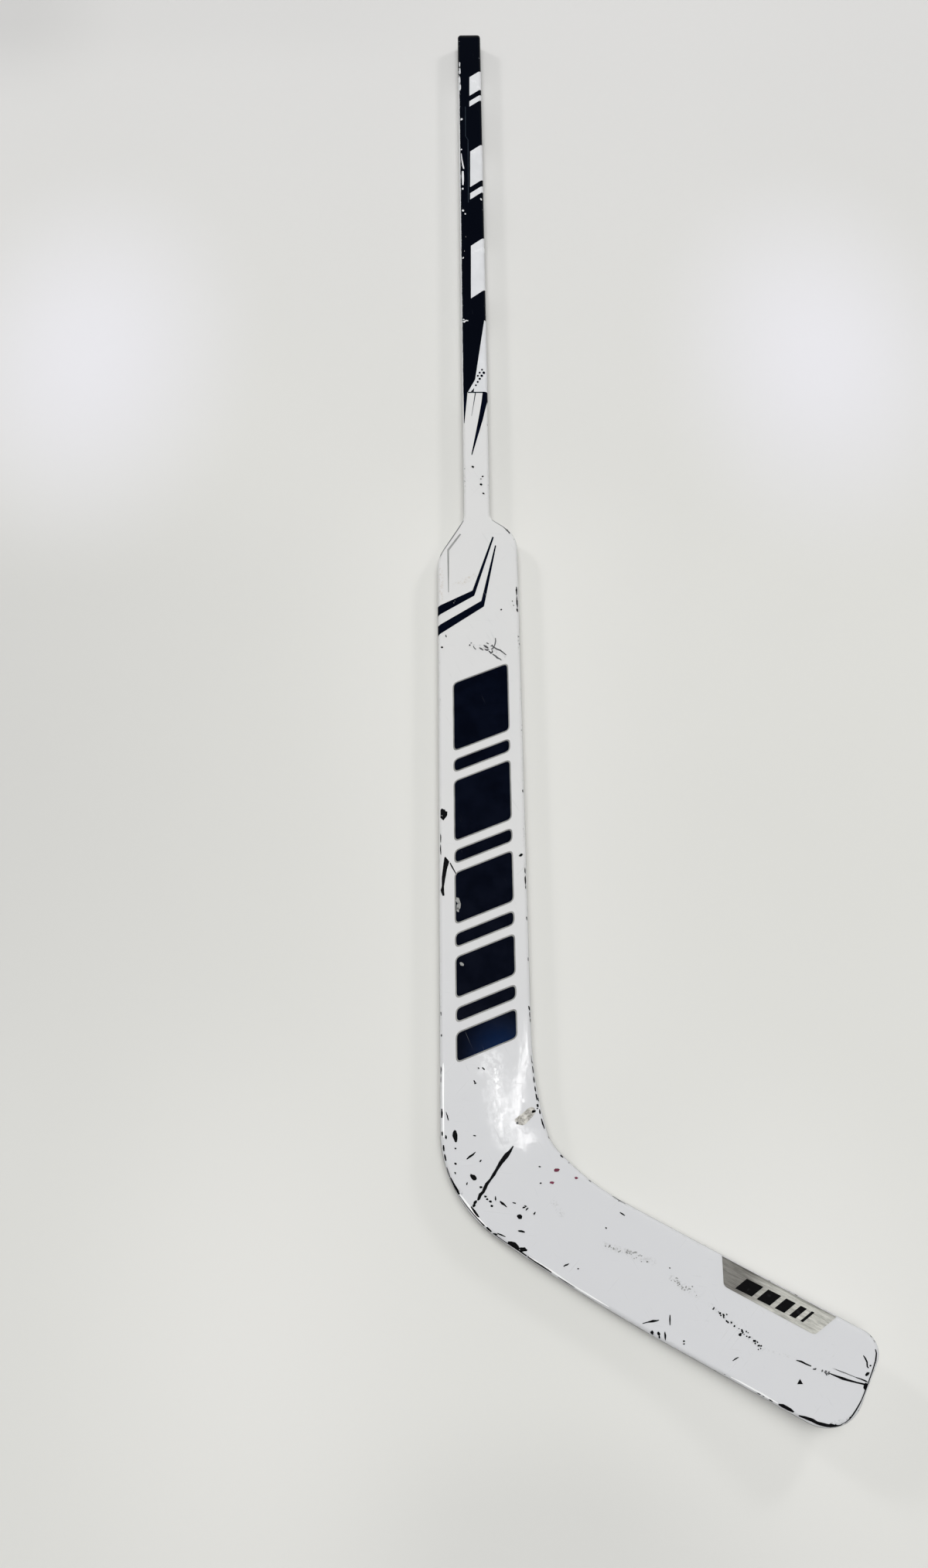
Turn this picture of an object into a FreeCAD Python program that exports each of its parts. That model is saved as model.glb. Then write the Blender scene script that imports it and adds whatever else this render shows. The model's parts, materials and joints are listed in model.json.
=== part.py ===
import FreeCAD, Part
import math
import os
import Sketcher

# Goalie stick lying on its back: X points to the toe side, Y up the shaft, Z out of the front face.
# The origin is on the back, on the shaft's axis, level with the two corners where the slim neck
# meets the paddle's shoulders. Lengths are millimetres, angles degrees.

SIZES = {
    # shaft and neck
    "shaft_width": 29,
    "stick_thickness": 20,
    "edge_radius": 4,
    "tube_length": 547.5,
    "tube_wall": 1.8,
    "splice_chamfer": 0.4,
    "neck_length": 164,
    "left_neck_radius": 20,
    "right_neck_radius": 10,
    # paddle and its two unlike shoulders
    "paddle_width": 87,
    "paddle_length": 723,
    "left_shoulder_drop": 48.3,
    "right_shoulder_drop": 20.6,
    "left_shoulder_radius": 43,
    "right_shoulder_radius": 33,
    # heel, where paddle and blade meet: a two-arc outer curve, a three-arc inner one
    "lie_angle": 61.9,
    "heel_start": 76.5,
    "heel_upper_radius": 112,
    "heel_lower_radius": 1830,
    "crotch_start": 165,
    "crotch_end": 142,
    "crotch_upper_radius": 348,
    "crotch_middle_radius": 43,
    "crotch_lower_radius": 217,
    # blade
    "blade_length": 385,
    "blade_width": 89,
    "toe_lower_radius": 34,
    "toe_upper_radius": 18,
    "toe_thickness": 12,
    "toe_lift": 32,
    "back_bend_start": 45,
    "front_bend_start": 150,
    # skins and what they hold
    "skin_wall": 1.5,
    "bond_gap": 0.1,
    "rail_width": 9,
    "left_rail_start": 95,
    "right_rail_start": 175,
    "rail_end": 643,
    "shaft_tenon_length": 70,
    "neck_tenon_length": 90,
    "tenon_chamfer": 1.2,
    "joint_offset": 19,
    "joint_angle": 7.7,
    "tongue_paddle_length": 38,
    "tongue_blade_length": 60,
    "tongue_width": 44,
    "tongue_thickness": 7,
    "tongue_height": 64,
    "tongue_radius": 8,
    "bridge_height": 48,
    "bridge_wall": 2,
    "bridge_start": 92,
    # end plug
    "plug_flange": 5,
    "plug_edge_radius": 2.5,
    "plug_stem": 36,
    "plug_wall": 2.2,
    # foil plate near the toe
    "foil_thickness": 0.35,
    "foil_glue": 0.06,
    "foil_toe_gap": 43,
    "foil_length": 105,
    "foil_height": 22,
    "foil_edge_gap": 1,
    "foil_slope": 11,
    "foil_corner_radius": 5,
    # how far helper blocks reach past the stick
    "overrun": 20,
}

os.makedirs("parts", exist_ok=True)
doc = FreeCAD.newDocument("goalie_stick")
sheet = doc.addObject("Spreadsheet::Sheet", "sizes")
for row, (name, value) in enumerate(SIZES.items(), 1):
    sheet.set(f"A{row}", name)
    sheet.set(f"B{row}", str(value))
    sheet.setAlias(f"B{row}", name)
doc.recompute()

V = FreeCAD.Vector
UP = V(0, 0, 1)
STEEP_SHARE = 0.5
HEEL_FRAME = (
    "placement(vector(-sizes.paddle_width / 2; -sizes.paddle_length; 0); "
    "rotation(sizes.lie_angle - 90; 0; 0))"
)
SIDE_FRAME = (
    "placement(vector(-sizes.paddle_width / 2; -sizes.paddle_length; 0); "
    "rotation(sizes.lie_angle - 90; 0; 90))"
)
REACH = "(sizes.paddle_length + sizes.neck_length + sizes.overrun)"


def size(alias):
    """A driving size's number."""
    return float(sheet.get(alias))


class Profile:
    """A closed sketch walked stretch by stretch; each stretch starts where the last one ended."""

    def __init__(self, name, start):
        self.sketch = doc.addObject("Sketcher::SketchObject", name)
        self.here = start
        self.first = None
        self.last = None

    def join(self, index, start, end, smooth):
        """Ties a new stretch to the end of the walk so far."""
        if self.last is None:
            self.first = (index, start)
        else:
            kind = "Tangent" if smooth else "Coincident"
            self.sketch.addConstraint(Sketcher.Constraint(kind, *self.last, index, start))
        self.last = (index, end)
        return index

    def line(self, end, smooth=True):
        """A straight stretch."""
        index = self.sketch.addGeometry(Part.LineSegment(self.here, end))
        self.here = end
        return self.join(index, 1, 2, smooth)

    def arc(self, end, centre, left_turn, smooth=True):
        """A round stretch; returns its index, its radius is set afterwards."""
        a = math.atan2(self.here.y - centre.y, self.here.x - centre.x)
        b = math.atan2(end.y - centre.y, end.x - centre.x)
        circle = Part.Circle(centre, UP, (end - centre).Length)
        self.here = end
        if left_turn:
            index = self.sketch.addGeometry(Part.ArcOfCircle(circle, a, b))
            return self.join(index, 1, 2, smooth)
        index = self.sketch.addGeometry(Part.ArcOfCircle(circle, b, a))
        return self.join(index, 2, 1, smooth)

    def corner(self, vertex, towards, radius, smooth=True):
        """A straight stretch up to a corner of the outline, and the arc that rounds the corner."""
        before = (vertex - self.here).normalize()
        after = (towards - vertex).normalize()
        turn = before.cross(after).z
        reach = size(radius) * math.tan(before.getAngle(after) / 2)
        begin = vertex - before * reach
        side = V(-before.y, before.x, 0) if turn > 0 else V(before.y, -before.x, 0)
        straight = self.line(begin, smooth)
        bend = self.arc(vertex + after * reach, begin + side * size(radius), turn > 0)
        self.set("Radius", bend, f"sizes.{radius}")
        return straight, bend

    def close(self):
        """Ties the last stretch to the first."""
        self.sketch.addConstraint(Sketcher.Constraint("Coincident", *self.last, *self.first))

    def point(self, where):
        """A construction point, for measuring from."""
        return self.sketch.addGeometry(Part.Point(where), True)

    def rule(self, *terms):
        """A geometric rule without a size."""
        self.sketch.addConstraint(Sketcher.Constraint(*terms))

    def set(self, *terms):
        """A measured rule; its last term is the expression that drives it."""
        *rule, expression = terms
        value = float(self.sketch.evalExpression(expression))
        if rule[0] == "Angle":
            value = math.radians(value)
        index = self.sketch.addConstraint(Sketcher.Constraint(*rule, value))
        self.sketch.setExpression(f"Constraints[{index}]", expression)


def box(name, frame, length, width, height):
    """A helper block, set by expressions."""
    made = doc.addObject("Part::Box", name)
    made.setExpression("Length", length)
    made.setExpression("Width", width)
    made.setExpression("Height", height)
    made.setExpression("Placement", frame)
    return made


def extrude(name, sketch, forward, backward):
    """A solid drawn out of a sketch, both ways along its normal."""
    made = doc.addObject("Part::Extrusion", name)
    made.Base = sketch
    made.DirMode = "Normal"
    made.Solid = True
    made.setExpression("LengthFwd", forward)
    made.setExpression("LengthRev", backward)
    return made


def inset(name, sketch, depth):
    """A sketch's outline moved inward, or outward where the depth is negative."""
    made = doc.addObject("Part::Offset2D", name)
    made.Source = sketch
    made.Join = "Tangent"
    made.setExpression("Value", f"-({depth})")
    return made


def cut(name, base, *tools):
    """What is left of a solid."""
    for number, tool in enumerate(tools, 1):
        made = doc.addObject("Part::Cut", name if number == len(tools) else f"{name}_{number}")
        made.Base = base
        made.Tool = tool
        base = made
    return base


def common(name, *shapes):
    """What solids share."""
    made = doc.addObject("Part::MultiCommon", name)
    made.Shapes = list(shapes)
    return made


def rounded(name, base, radius):
    """Rounds the rims of the front and back faces, all along the outline but not at the neck's end."""
    doc.recompute()
    shape = base.Shape
    top = shape.BoundBox.YMax
    rims = []
    for number, edge in enumerate(shape.Edges, 1):
        middle = edge.valueAt((edge.FirstParameter + edge.LastParameter) / 2)
        slopes = []
        for face in shape.ancestorsOfType(edge, Part.Face):
            u, v = face.Surface.parameter(middle)
            slopes.append(abs(face.normalAt(u, v).z))
        wall = min(slopes) < STEEP_SHARE
        lying = max(slopes) > STEEP_SHARE
        if wall and lying and top - middle.y > Part.Vertex(middle).Tolerance:
            rims.append((number, radius, radius))
    made = doc.addObject("Part::Fillet", name)
    made.Base = base
    made.Edges = rims
    return made


# The outline of neck, paddle and blade, seen from the front

neck_x = size("shaft_width") / 2
side_x = size("paddle_width") / 2
tilt = math.radians(90 - size("lie_angle"))
lie = math.radians(size("lie_angle"))
along = V(math.cos(tilt), -math.sin(tilt), 0)
across = V(math.sin(tilt), math.cos(tilt), 0)
heel = V(-side_x, -size("paddle_length"), 0)
neck_top = size("neck_length") + size("overrun")
left_corner = V(-neck_x, 0, 0)
left_low = V(-side_x, -size("left_shoulder_drop"), 0)
right_corner = V(neck_x, 0, 0)
right_low = V(side_x, -size("right_shoulder_drop"), 0)
toe_low = heel + along * size("blade_length")
toe_high = toe_low + across * size("blade_width")

# heel: two arcs that share a tangent
upper = size("heel_upper_radius")
lower = size("heel_lower_radius")
upper_centre = heel + V(upper, size("heel_start"), 0)
share = (lower - (upper_centre - heel).dot(across)) / (lower - upper)
meet = lie - math.acos(share)
inward = V(math.cos(meet), math.sin(meet), 0)
lower_centre = upper_centre + inward * (lower - upper)

# crotch: a tight arc between two wide ones
first = size("crotch_upper_radius")
tight = size("crotch_middle_radius")
last = size("crotch_lower_radius")
first_centre = heel + V(2 * side_x + first, size("crotch_start"), 0)
last_centre = heel + along * size("crotch_end") + across * (size("blade_width") + last)
gap = last_centre - first_centre
step = ((first - tight) ** 2 - (last - tight) ** 2 + gap.Length ** 2) / (2 * gap.Length)
rise = math.sqrt((first - tight) ** 2 - step ** 2)
gap.normalize()
tight_centre = first_centre + gap * step + V(-gap.y, gap.x, 0) * rise
to_first = (first_centre - tight_centre).normalize()
to_last = (last_centre - tight_centre).normalize()

plan = Profile("outline", V(-neck_x, neck_top, 0))
neck_left, _ = plan.corner(left_corner, left_low, "left_neck_radius")
slope_left, _ = plan.corner(left_low, heel, "left_shoulder_radius")
side_left = plan.line(heel + V(0, size("heel_start"), 0))
heel_one = plan.arc(upper_centre - inward * upper, upper_centre, True)
heel_two = plan.arc(lower_centre - across * lower, lower_centre, True)
sole, _ = plan.corner(toe_low, toe_high, "toe_lower_radius")
toe_end, _ = plan.corner(toe_high, toe_high - along, "toe_upper_radius")
top_edge = plan.line(last_centre - across * last)
crotch_last = plan.arc(tight_centre - to_last * tight, last_centre, False)
crotch_tight = plan.arc(tight_centre - to_first * tight, tight_centre, False)
crotch_first = plan.arc(first_centre - V(first, 0, 0), first_centre, False)
side_right, _ = plan.corner(right_low, right_corner, "right_shoulder_radius")
slope_right, _ = plan.corner(right_corner, V(neck_x, neck_top, 0), "right_neck_radius")
neck_right = plan.line(V(neck_x, neck_top, 0))
neck_end = plan.line(V(-neck_x, neck_top, 0), smooth=False)
plan.close()

mark_left = plan.point(left_corner)
mark_left_low = plan.point(left_low)
mark_right = plan.point(right_corner)
mark_right_low = plan.point(right_low)
mark_heel = plan.point(heel)
for upright in (neck_left, side_left, side_right, neck_right):
    plan.rule("Vertical", upright)
plan.rule("Horizontal", neck_end)
plan.rule("Perpendicular", sole, toe_end)
plan.rule("Parallel", sole, top_edge)
for mark, line in (
    (mark_left, neck_left),
    (mark_left, slope_left),
    (mark_left_low, slope_left),
    (mark_left_low, side_left),
    (mark_right, neck_right),
    (mark_right, slope_right),
    (mark_right_low, slope_right),
    (mark_right_low, side_right),
    (mark_heel, side_left),
    (mark_heel, sole),
):
    plan.rule("PointOnObject", mark, 1, line)
plan.rule("PointOnObject", mark_left, 1, -1)
plan.rule("PointOnObject", mark_right, 1, -1)
plan.set("DistanceX", mark_left, 1, -1, 1, "sizes.shaft_width / 2")
plan.set("DistanceX", -1, 1, mark_right, 1, "sizes.shaft_width / 2")
plan.set("DistanceX", mark_left_low, 1, -1, 1, "sizes.paddle_width / 2")
plan.set("DistanceX", -1, 1, mark_right_low, 1, "sizes.paddle_width / 2")
plan.set("DistanceY", mark_left_low, 1, -1, 1, "sizes.left_shoulder_drop")
plan.set("DistanceY", mark_right_low, 1, -1, 1, "sizes.right_shoulder_drop")
plan.set("DistanceY", mark_heel, 1, -1, 1, "sizes.paddle_length")
plan.set("DistanceY", -1, 1, neck_end, 2, "sizes.neck_length + sizes.overrun")
plan.set("DistanceY", mark_heel, 1, heel_one, 1, "sizes.heel_start")
plan.set("DistanceY", mark_heel, 1, crotch_first, 1, "sizes.crotch_start")
plan.set("Radius", heel_one, "sizes.heel_upper_radius")
plan.set("Radius", heel_two, "sizes.heel_lower_radius")
plan.set("Radius", crotch_first, "sizes.crotch_upper_radius")
plan.set("Radius", crotch_tight, "sizes.crotch_middle_radius")
plan.set("Radius", crotch_last, "sizes.crotch_lower_radius")
plan.set("Angle", sole, "sizes.lie_angle - 90")
plan.set("Distance", mark_heel, 1, toe_end, "sizes.blade_length")
plan.set("Distance", mark_heel, 1, top_edge, "sizes.blade_width")
plan.set("Distance", crotch_last, 2, toe_end, "sizes.blade_length - sizes.crotch_end")

# The side view, in the blade's own direction: flat under shaft and paddle, rising towards the toe

reach = size("paddle_length") + size("neck_length") + size("overrun")
thickness = size("stick_thickness")
toe_x = size("blade_length")
side_end = toe_x + size("overrun")


def rising(start, base, toe_z):
    """Centre and far end of the arc that leaves a level line and passes the toe at a height."""
    run = toe_x - start
    climb = toe_z - base
    radius = (run ** 2 + climb ** 2) / (2 * climb)
    far = base + radius - math.sqrt(radius ** 2 - (side_end - start) ** 2)
    return V(start, base + radius, 0), V(side_end, far, 0)


back_start = size("back_bend_start")
front_start = size("front_bend_start")
toe_front = size("toe_lift") + size("toe_thickness")
toe_middle = size("toe_lift") + size("toe_thickness") / 2
back_centre, back_far = rising(back_start, 0, size("toe_lift"))
front_centre, front_far = rising(front_start, thickness, toe_front)
part_start = (back_start + front_start) / 2
part_centre, part_far = rising(part_start, thickness / 2, toe_middle)

side = Profile("side_view", V(-reach, 0, 0))
back_flat = side.line(V(back_start, 0, 0))
back_arc = side.arc(back_far, back_centre, True)
side_close = side.line(front_far, smooth=False)
front_arc = side.arc(V(front_start, thickness, 0), front_centre, False, smooth=False)
front_flat = side.line(V(-reach, thickness, 0))
rear_close = side.line(V(-reach, 0, 0), smooth=False)
side.close()
back_toe = side.point(V(toe_x, size("toe_lift"), 0))
front_toe = side.point(V(toe_x, toe_front, 0))
for flat in (back_flat, front_flat):
    side.rule("Horizontal", flat)
for upright in (side_close, rear_close):
    side.rule("Vertical", upright)
side.rule("PointOnObject", back_flat, 1, -1)
side.rule("PointOnObject", back_toe, 1, back_arc)
side.rule("PointOnObject", front_toe, 1, front_arc)
side.set("DistanceX", back_flat, 1, -1, 1, REACH)
side.set("DistanceX", -1, 1, back_flat, 2, "sizes.back_bend_start")
side.set("DistanceX", -1, 1, front_flat, 1, "sizes.front_bend_start")
side.set("DistanceY", -1, 1, front_flat, 1, "sizes.stick_thickness")
side.set("DistanceX", -1, 1, side_close, 1, "sizes.blade_length + sizes.overrun")
side.set("DistanceX", -1, 1, back_toe, 1, "sizes.blade_length")
side.set("DistanceX", -1, 1, front_toe, 1, "sizes.blade_length")
side.set("DistanceY", -1, 1, back_toe, 1, "sizes.toe_lift")
side.set("DistanceY", -1, 1, front_toe, 1, "sizes.toe_lift + sizes.toe_thickness")
side.sketch.setExpression("Placement", SIDE_FRAME)

# The line on which front and back skins meet, with all the room in front of it

roof = part_far.y + reach
parting = Profile("parting_line", V(-reach, thickness / 2, 0))
part_flat = parting.line(V(part_start, thickness / 2, 0))
part_arc = parting.arc(part_far, part_centre, True)
part_close = parting.line(V(side_end, roof, 0), smooth=False)
part_roof = parting.line(V(-reach, roof, 0), smooth=False)
part_rear = parting.line(V(-reach, thickness / 2, 0), smooth=False)
parting.close()
part_toe = parting.point(V(toe_x, toe_middle, 0))
for flat in (part_flat, part_roof):
    parting.rule("Horizontal", flat)
for upright in (part_close, part_rear):
    parting.rule("Vertical", upright)
parting.rule("PointOnObject", part_toe, 1, part_arc)
parting.set("DistanceX", part_flat, 1, -1, 1, REACH)
parting.set("DistanceX", -1, 1, part_flat, 2, "(sizes.back_bend_start + sizes.front_bend_start) / 2")
parting.set("DistanceY", -1, 1, part_flat, 1, "sizes.stick_thickness / 2")
parting.set("DistanceX", -1, 1, part_close, 1, "sizes.blade_length + sizes.overrun")
parting.set("DistanceY", part_arc, 2, part_roof, 1, REACH)
parting.set("DistanceX", -1, 1, part_toe, 1, "sizes.blade_length")
parting.set("DistanceY", -1, 1, part_toe, 1, "sizes.toe_lift + sizes.toe_thickness / 2")
parting.sketch.setExpression("Placement", SIDE_FRAME)

# Outer form of the moulded part, and the room inside its skins

HIGH = "sizes.toe_lift + sizes.toe_thickness + sizes.stick_thickness + sizes.overrun"
outer_prism = extrude("outer_prism", plan.sketch, HIGH, "sizes.overrun")
outer_slab = extrude("outer_slab", side.sketch, "sizes.overrun", REACH)
inner_plan = inset("inner_outline", plan.sketch, "sizes.skin_wall")
inner_side = inset("inner_side_view", side.sketch, "sizes.skin_wall")
inner_prism = extrude("inner_prism", inner_plan, HIGH, "sizes.overrun")
inner_slab = extrude("inner_slab", inner_side, "sizes.overrun", REACH)
front_half = extrude("front_half", parting.sketch, "sizes.overrun", REACH)
outer_form = rounded("outer_form", common("outer_block", outer_prism, outer_slab), size("edge_radius"))
inner_form = rounded(
    "inner_form",
    common("inner_block", inner_prism, inner_slab),
    size("edge_radius") - size("skin_wall"),
)
shell = cut("shell", outer_form, inner_form)

# Where one moulding ends and the next begins: the heel joint, and the splice with the shaft

JOINT_FRAME = (
    f"{HEEL_FRAME} * placement(vector(sizes.joint_offset; 0; 0); rotation(-sizes.joint_angle; 0; 0))"
)
paddle_side = box(
    "paddle_side",
    f"{JOINT_FRAME} * placement(vector(-{REACH}; -{REACH}; -sizes.overrun); rotation(0; 0; 0))",
    REACH,
    f"3 * {REACH}",
    f"{HIGH} + sizes.overrun",
)
past_splice = box(
    "past_splice",
    "placement(vector(-sizes.paddle_width; sizes.neck_length; -sizes.overrun); rotation(0; 0; 0))",
    "2 * sizes.paddle_width",
    REACH,
    f"{HIGH} + sizes.overrun",
)
paddle_zone = cut("paddle_zone", paddle_side, past_splice)
front_shell = common("front_shell", shell, front_half)
back_shell = cut("back_shell", shell, front_half)
paddle_front = common("paddle_front_skin", front_shell, paddle_zone)
paddle_back = common("paddle_back_skin", back_shell, paddle_zone)
blade_front = cut("blade_front_skin", front_shell, paddle_side)
blade_back = cut("blade_back_skin", back_shell, paddle_side)

# Helpers for the turned and padded pieces


def body(name, frame):
    """An empty body standing in its frame."""
    made = doc.addObject("PartDesign::Body", name)
    made.setExpression("Placement", frame)
    return made


def rectangle(owner, name, plane, width, height):
    """A sketched rectangle about the body's origin, on one of its own planes."""
    sketch = owner.newObject("Sketcher::SketchObject", name)
    base = [f for f in owner.Origin.OriginFeatures if f.Role == plane][0]
    sketch.AttachmentSupport = [(base, "")]
    sketch.MapMode = "FlatFace"
    w = float(sketch.evalExpression(width)) / 2
    h = float(sketch.evalExpression(height)) / 2
    corners = [V(-w, -h, 0), V(w, -h, 0), V(w, h, 0), V(-w, h, 0)]
    for number in range(4):
        sketch.addGeometry(Part.LineSegment(corners[number], corners[(number + 1) % 4]))
    for number in range(4):
        sketch.addConstraint(Sketcher.Constraint("Coincident", number, 2, (number + 1) % 4, 1))
    for number in (0, 2):
        sketch.addConstraint(Sketcher.Constraint("Horizontal", number))
        sketch.addConstraint(Sketcher.Constraint("Vertical", number + 1))
    sketch.addConstraint(Sketcher.Constraint("Symmetric", 0, 1, 2, 1, -1, 1))
    across_index = sketch.addConstraint(Sketcher.Constraint("DistanceX", 0, 1, 0, 2, 2 * w))
    up_index = sketch.addConstraint(Sketcher.Constraint("DistanceY", 1, 1, 1, 2, 2 * h))
    sketch.setExpression(f"Constraints[{across_index}]", width)
    sketch.setExpression(f"Constraints[{up_index}]", height)
    return sketch


def pad(owner, name, sketch, length, reverse=False):
    """A sketch drawn out into material."""
    made = owner.newObject("PartDesign::Pad", name)
    made.Profile = sketch
    made.Reversed = reverse
    made.setExpression("Length", length)
    doc.recompute()
    return made


def pocket(owner, name, sketch, length, reverse=False):
    """A sketch drawn out into a hollow."""
    made = owner.newObject("PartDesign::Pocket", name)
    made.Profile = sketch
    made.Reversed = reverse
    made.setExpression("Length", length)
    doc.recompute()
    return made


def dress(owner, kind, name, base, wanted, amount):
    """Rounds or bevels the edges that a test picks."""
    edges = [f"Edge{n}" for n, edge in enumerate(base.Shape.Edges, 1) if wanted(edge)]
    made = owner.newObject(f"PartDesign::{kind}", name)
    made.Base = (base, edges)
    made.setExpression("Radius" if kind == "Fillet" else "Size", amount)
    doc.recompute()
    return made


def runs(direction):
    """A test for straight edges along a direction."""

    def test(edge):
        way = edge.Vertexes[-1].Point - edge.Vertexes[0].Point
        return way.Length > 0 and abs(way.normalize().dot(direction)) > 1 - STEEP_SHARE ** 8

    return test


def level(axis, height):
    """A test for edges that lie whole in a plane across an axis."""

    def test(edge):
        return all(abs(p.Point.dot(axis) - height) < p.Tolerance * 10 for p in edge.Vertexes)

    return test


X = V(1, 0, 0)
Y = V(0, 1, 0)
BORE_WIDTH = "sizes.shaft_width - 2 * sizes.tube_wall"
BORE_HEIGHT = "sizes.stick_thickness - 2 * sizes.tube_wall"
BORE_RADIUS = "sizes.edge_radius - sizes.tube_wall"
FIT_RADIUS = f"{BORE_RADIUS} - sizes.bond_gap"


def shaft_frame(height):
    """The middle of the shaft's section, at a height along the shaft."""
    return f"placement(vector(0; {height}; sizes.stick_thickness / 2); rotation(0; 0; 0))"


# Shaft: a tube with rounded edges outside and in, its lower rim bevelled where the splice shows

tube = body("shaft_tube", shaft_frame("sizes.neck_length"))
outside = rectangle(tube, "tube_section", "XZ_Plane", "sizes.shaft_width", "sizes.stick_thickness")
step = pad(tube, "tube_block", outside, "sizes.tube_length", True)
step = dress(tube, "Fillet", "tube_edges", step, runs(Y), "sizes.edge_radius")
step = dress(tube, "Chamfer", "tube_rim", step, level(Y, 0), "sizes.splice_chamfer")
inside = rectangle(tube, "bore_section", "XZ_Plane", BORE_WIDTH, BORE_HEIGHT)
bore_x = float(tube.evalExpression(BORE_WIDTH)) / 2
bore_z = float(tube.evalExpression(BORE_HEIGHT)) / 2
step = pocket(tube, "tube_bore", inside, "sizes.tube_length")


def in_bore(edge):
    """Long edges on the bore's own corners."""
    point = edge.Vertexes[0].Point
    inside_x = abs(point.x) <= bore_x + edge.Tolerance
    inside_z = abs(point.z) <= bore_z + edge.Tolerance
    return runs(Y)(edge) and inside_x and inside_z


step = dress(tube, "Fillet", "bore_edges", step, in_bore, BORE_RADIUS)

# Tenon: glued half in the shaft, half in the neck

TENON = "sizes.neck_tenon_length + sizes.shaft_tenon_length"
tenon = body("splice_tenon", shaft_frame("sizes.neck_length - sizes.neck_tenon_length"))
section = rectangle(
    tenon,
    "tenon_section",
    "XZ_Plane",
    f"{BORE_WIDTH} - 2 * sizes.bond_gap",
    f"{BORE_HEIGHT} - 2 * sizes.bond_gap",
)
step = pad(tenon, "tenon_block", section, TENON, True)
step = dress(tenon, "Fillet", "tenon_edges", step, runs(Y), FIT_RADIUS)
tenon_long = float(tenon.evalExpression(TENON))
step = dress(tenon, "Chamfer", "tenon_lower_end", step, level(Y, 0), "sizes.tenon_chamfer")
step = dress(tenon, "Chamfer", "tenon_upper_end", step, level(Y, tenon_long), "sizes.tenon_chamfer")

# End plug: a rounded flange flush with the shaft, and a hollow stem in the bore

plug = body("butt_plug", shaft_frame("sizes.neck_length + sizes.tube_length"))
section = rectangle(plug, "flange_section", "XZ_Plane", "sizes.shaft_width", "sizes.stick_thickness")
step = pad(plug, "flange", section, "sizes.plug_flange", True)
step = dress(plug, "Fillet", "flange_edges", step, runs(Y), "sizes.edge_radius")
flange_top = size("plug_flange")
step = dress(plug, "Fillet", "flange_rim", step, level(Y, flange_top), "sizes.plug_edge_radius")
section = rectangle(
    plug,
    "stem_section",
    "XZ_Plane",
    f"{BORE_WIDTH} - 2 * sizes.bond_gap",
    f"{BORE_HEIGHT} - 2 * sizes.bond_gap",
)
step = pad(plug, "stem", section, "sizes.plug_stem")


def on_stem(edge):
    """Long edges of the stem, which stand inside the tube."""
    return runs(Y)(edge) and min(p.Y for p in edge.Vertexes) < -size("plug_stem") / 2


step = dress(plug, "Fillet", "stem_edges", step, on_stem, FIT_RADIUS)
section = rectangle(
    plug,
    "stem_hollow_section",
    "XZ_Plane",
    f"{BORE_WIDTH} - 2 * sizes.bond_gap - 2 * sizes.plug_wall",
    f"{BORE_HEIGHT} - 2 * sizes.bond_gap - 2 * sizes.plug_wall",
)
step = pocket(plug, "stem_hollow", section, "sizes.plug_stem", True)

# Tongue across the heel joint

tongue_joint = "sizes.joint_offset + sizes.tongue_height * tan(sizes.joint_angle)"
tongue_mid = f"{tongue_joint} + (sizes.tongue_blade_length - sizes.tongue_paddle_length) / 2"
tongue_floor = "sizes.stick_thickness / 2 - sizes.tongue_thickness / 2"
tongue = body(
    "heel_tongue",
    f"{HEEL_FRAME} * placement(vector({tongue_mid}; sizes.tongue_height; {tongue_floor}); "
    "rotation(0; 0; 0))",
)
section = rectangle(
    tongue,
    "tongue_section",
    "XY_Plane",
    "sizes.tongue_blade_length + sizes.tongue_paddle_length",
    "sizes.tongue_width",
)
step = pad(tongue, "tongue_block", section, "sizes.tongue_thickness")
step = dress(tongue, "Fillet", "tongue_corners", step, runs(UP), "sizes.tongue_radius")

# Cores, rails and rib: the room inside the skins, shared out


def strip(name, corner_x, start, width):
    """A block along the paddle, between two heights above the heel."""
    return box(
        name,
        f"placement(vector({corner_x}; {start} - sizes.paddle_length; -sizes.overrun); rotation(0; 0; 0))",
        width,
        f"sizes.rail_end - ({start})",
        f"{HIGH} + sizes.overrun",
    )


left_strip = strip(
    "left_strip",
    "-sizes.paddle_width / 2",
    "sizes.left_rail_start",
    "sizes.skin_wall + sizes.rail_width",
)
right_strip = strip(
    "right_strip",
    "sizes.paddle_width / 2 - sizes.skin_wall - sizes.rail_width",
    "sizes.right_rail_start",
    "sizes.skin_wall + sizes.rail_width",
)
left_rail = common("left_rail", inner_form, left_strip)
right_rail = common("right_rail", inner_form, right_strip)
neck_room = box(
    "neck_room",
    "placement(vector(-sizes.paddle_width; 0; -sizes.overrun); rotation(0; 0; 0))",
    "2 * sizes.paddle_width",
    "sizes.neck_length - sizes.neck_tenon_length",
    f"{HIGH} + sizes.overrun",
)
above_paddle = box(
    "above_paddle",
    "placement(vector(-sizes.paddle_width; 0; -sizes.overrun); rotation(0; 0; 0))",
    "2 * sizes.paddle_width",
    REACH,
    f"{HIGH} + sizes.overrun",
)
neck_core = common("neck_core", inner_form, neck_room)
paddle_room = common("paddle_room", inner_form, paddle_side)
paddle_core = cut("paddle_core", paddle_room, above_paddle, left_strip, right_strip, tongue)
blade_room = cut("blade_room", inner_form, paddle_side)
rib_block = box(
    "rib_block",
    f"{HEEL_FRAME} * placement(vector(sizes.bridge_start; sizes.bridge_height - sizes.bridge_wall / 2; "
    "-sizes.overrun); rotation(0; 0; 0))",
    "sizes.blade_length",
    "sizes.bridge_wall",
    f"{HIGH} + sizes.overrun",
)
bridge = common("blade_bridge", blade_room, rib_block)
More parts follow.
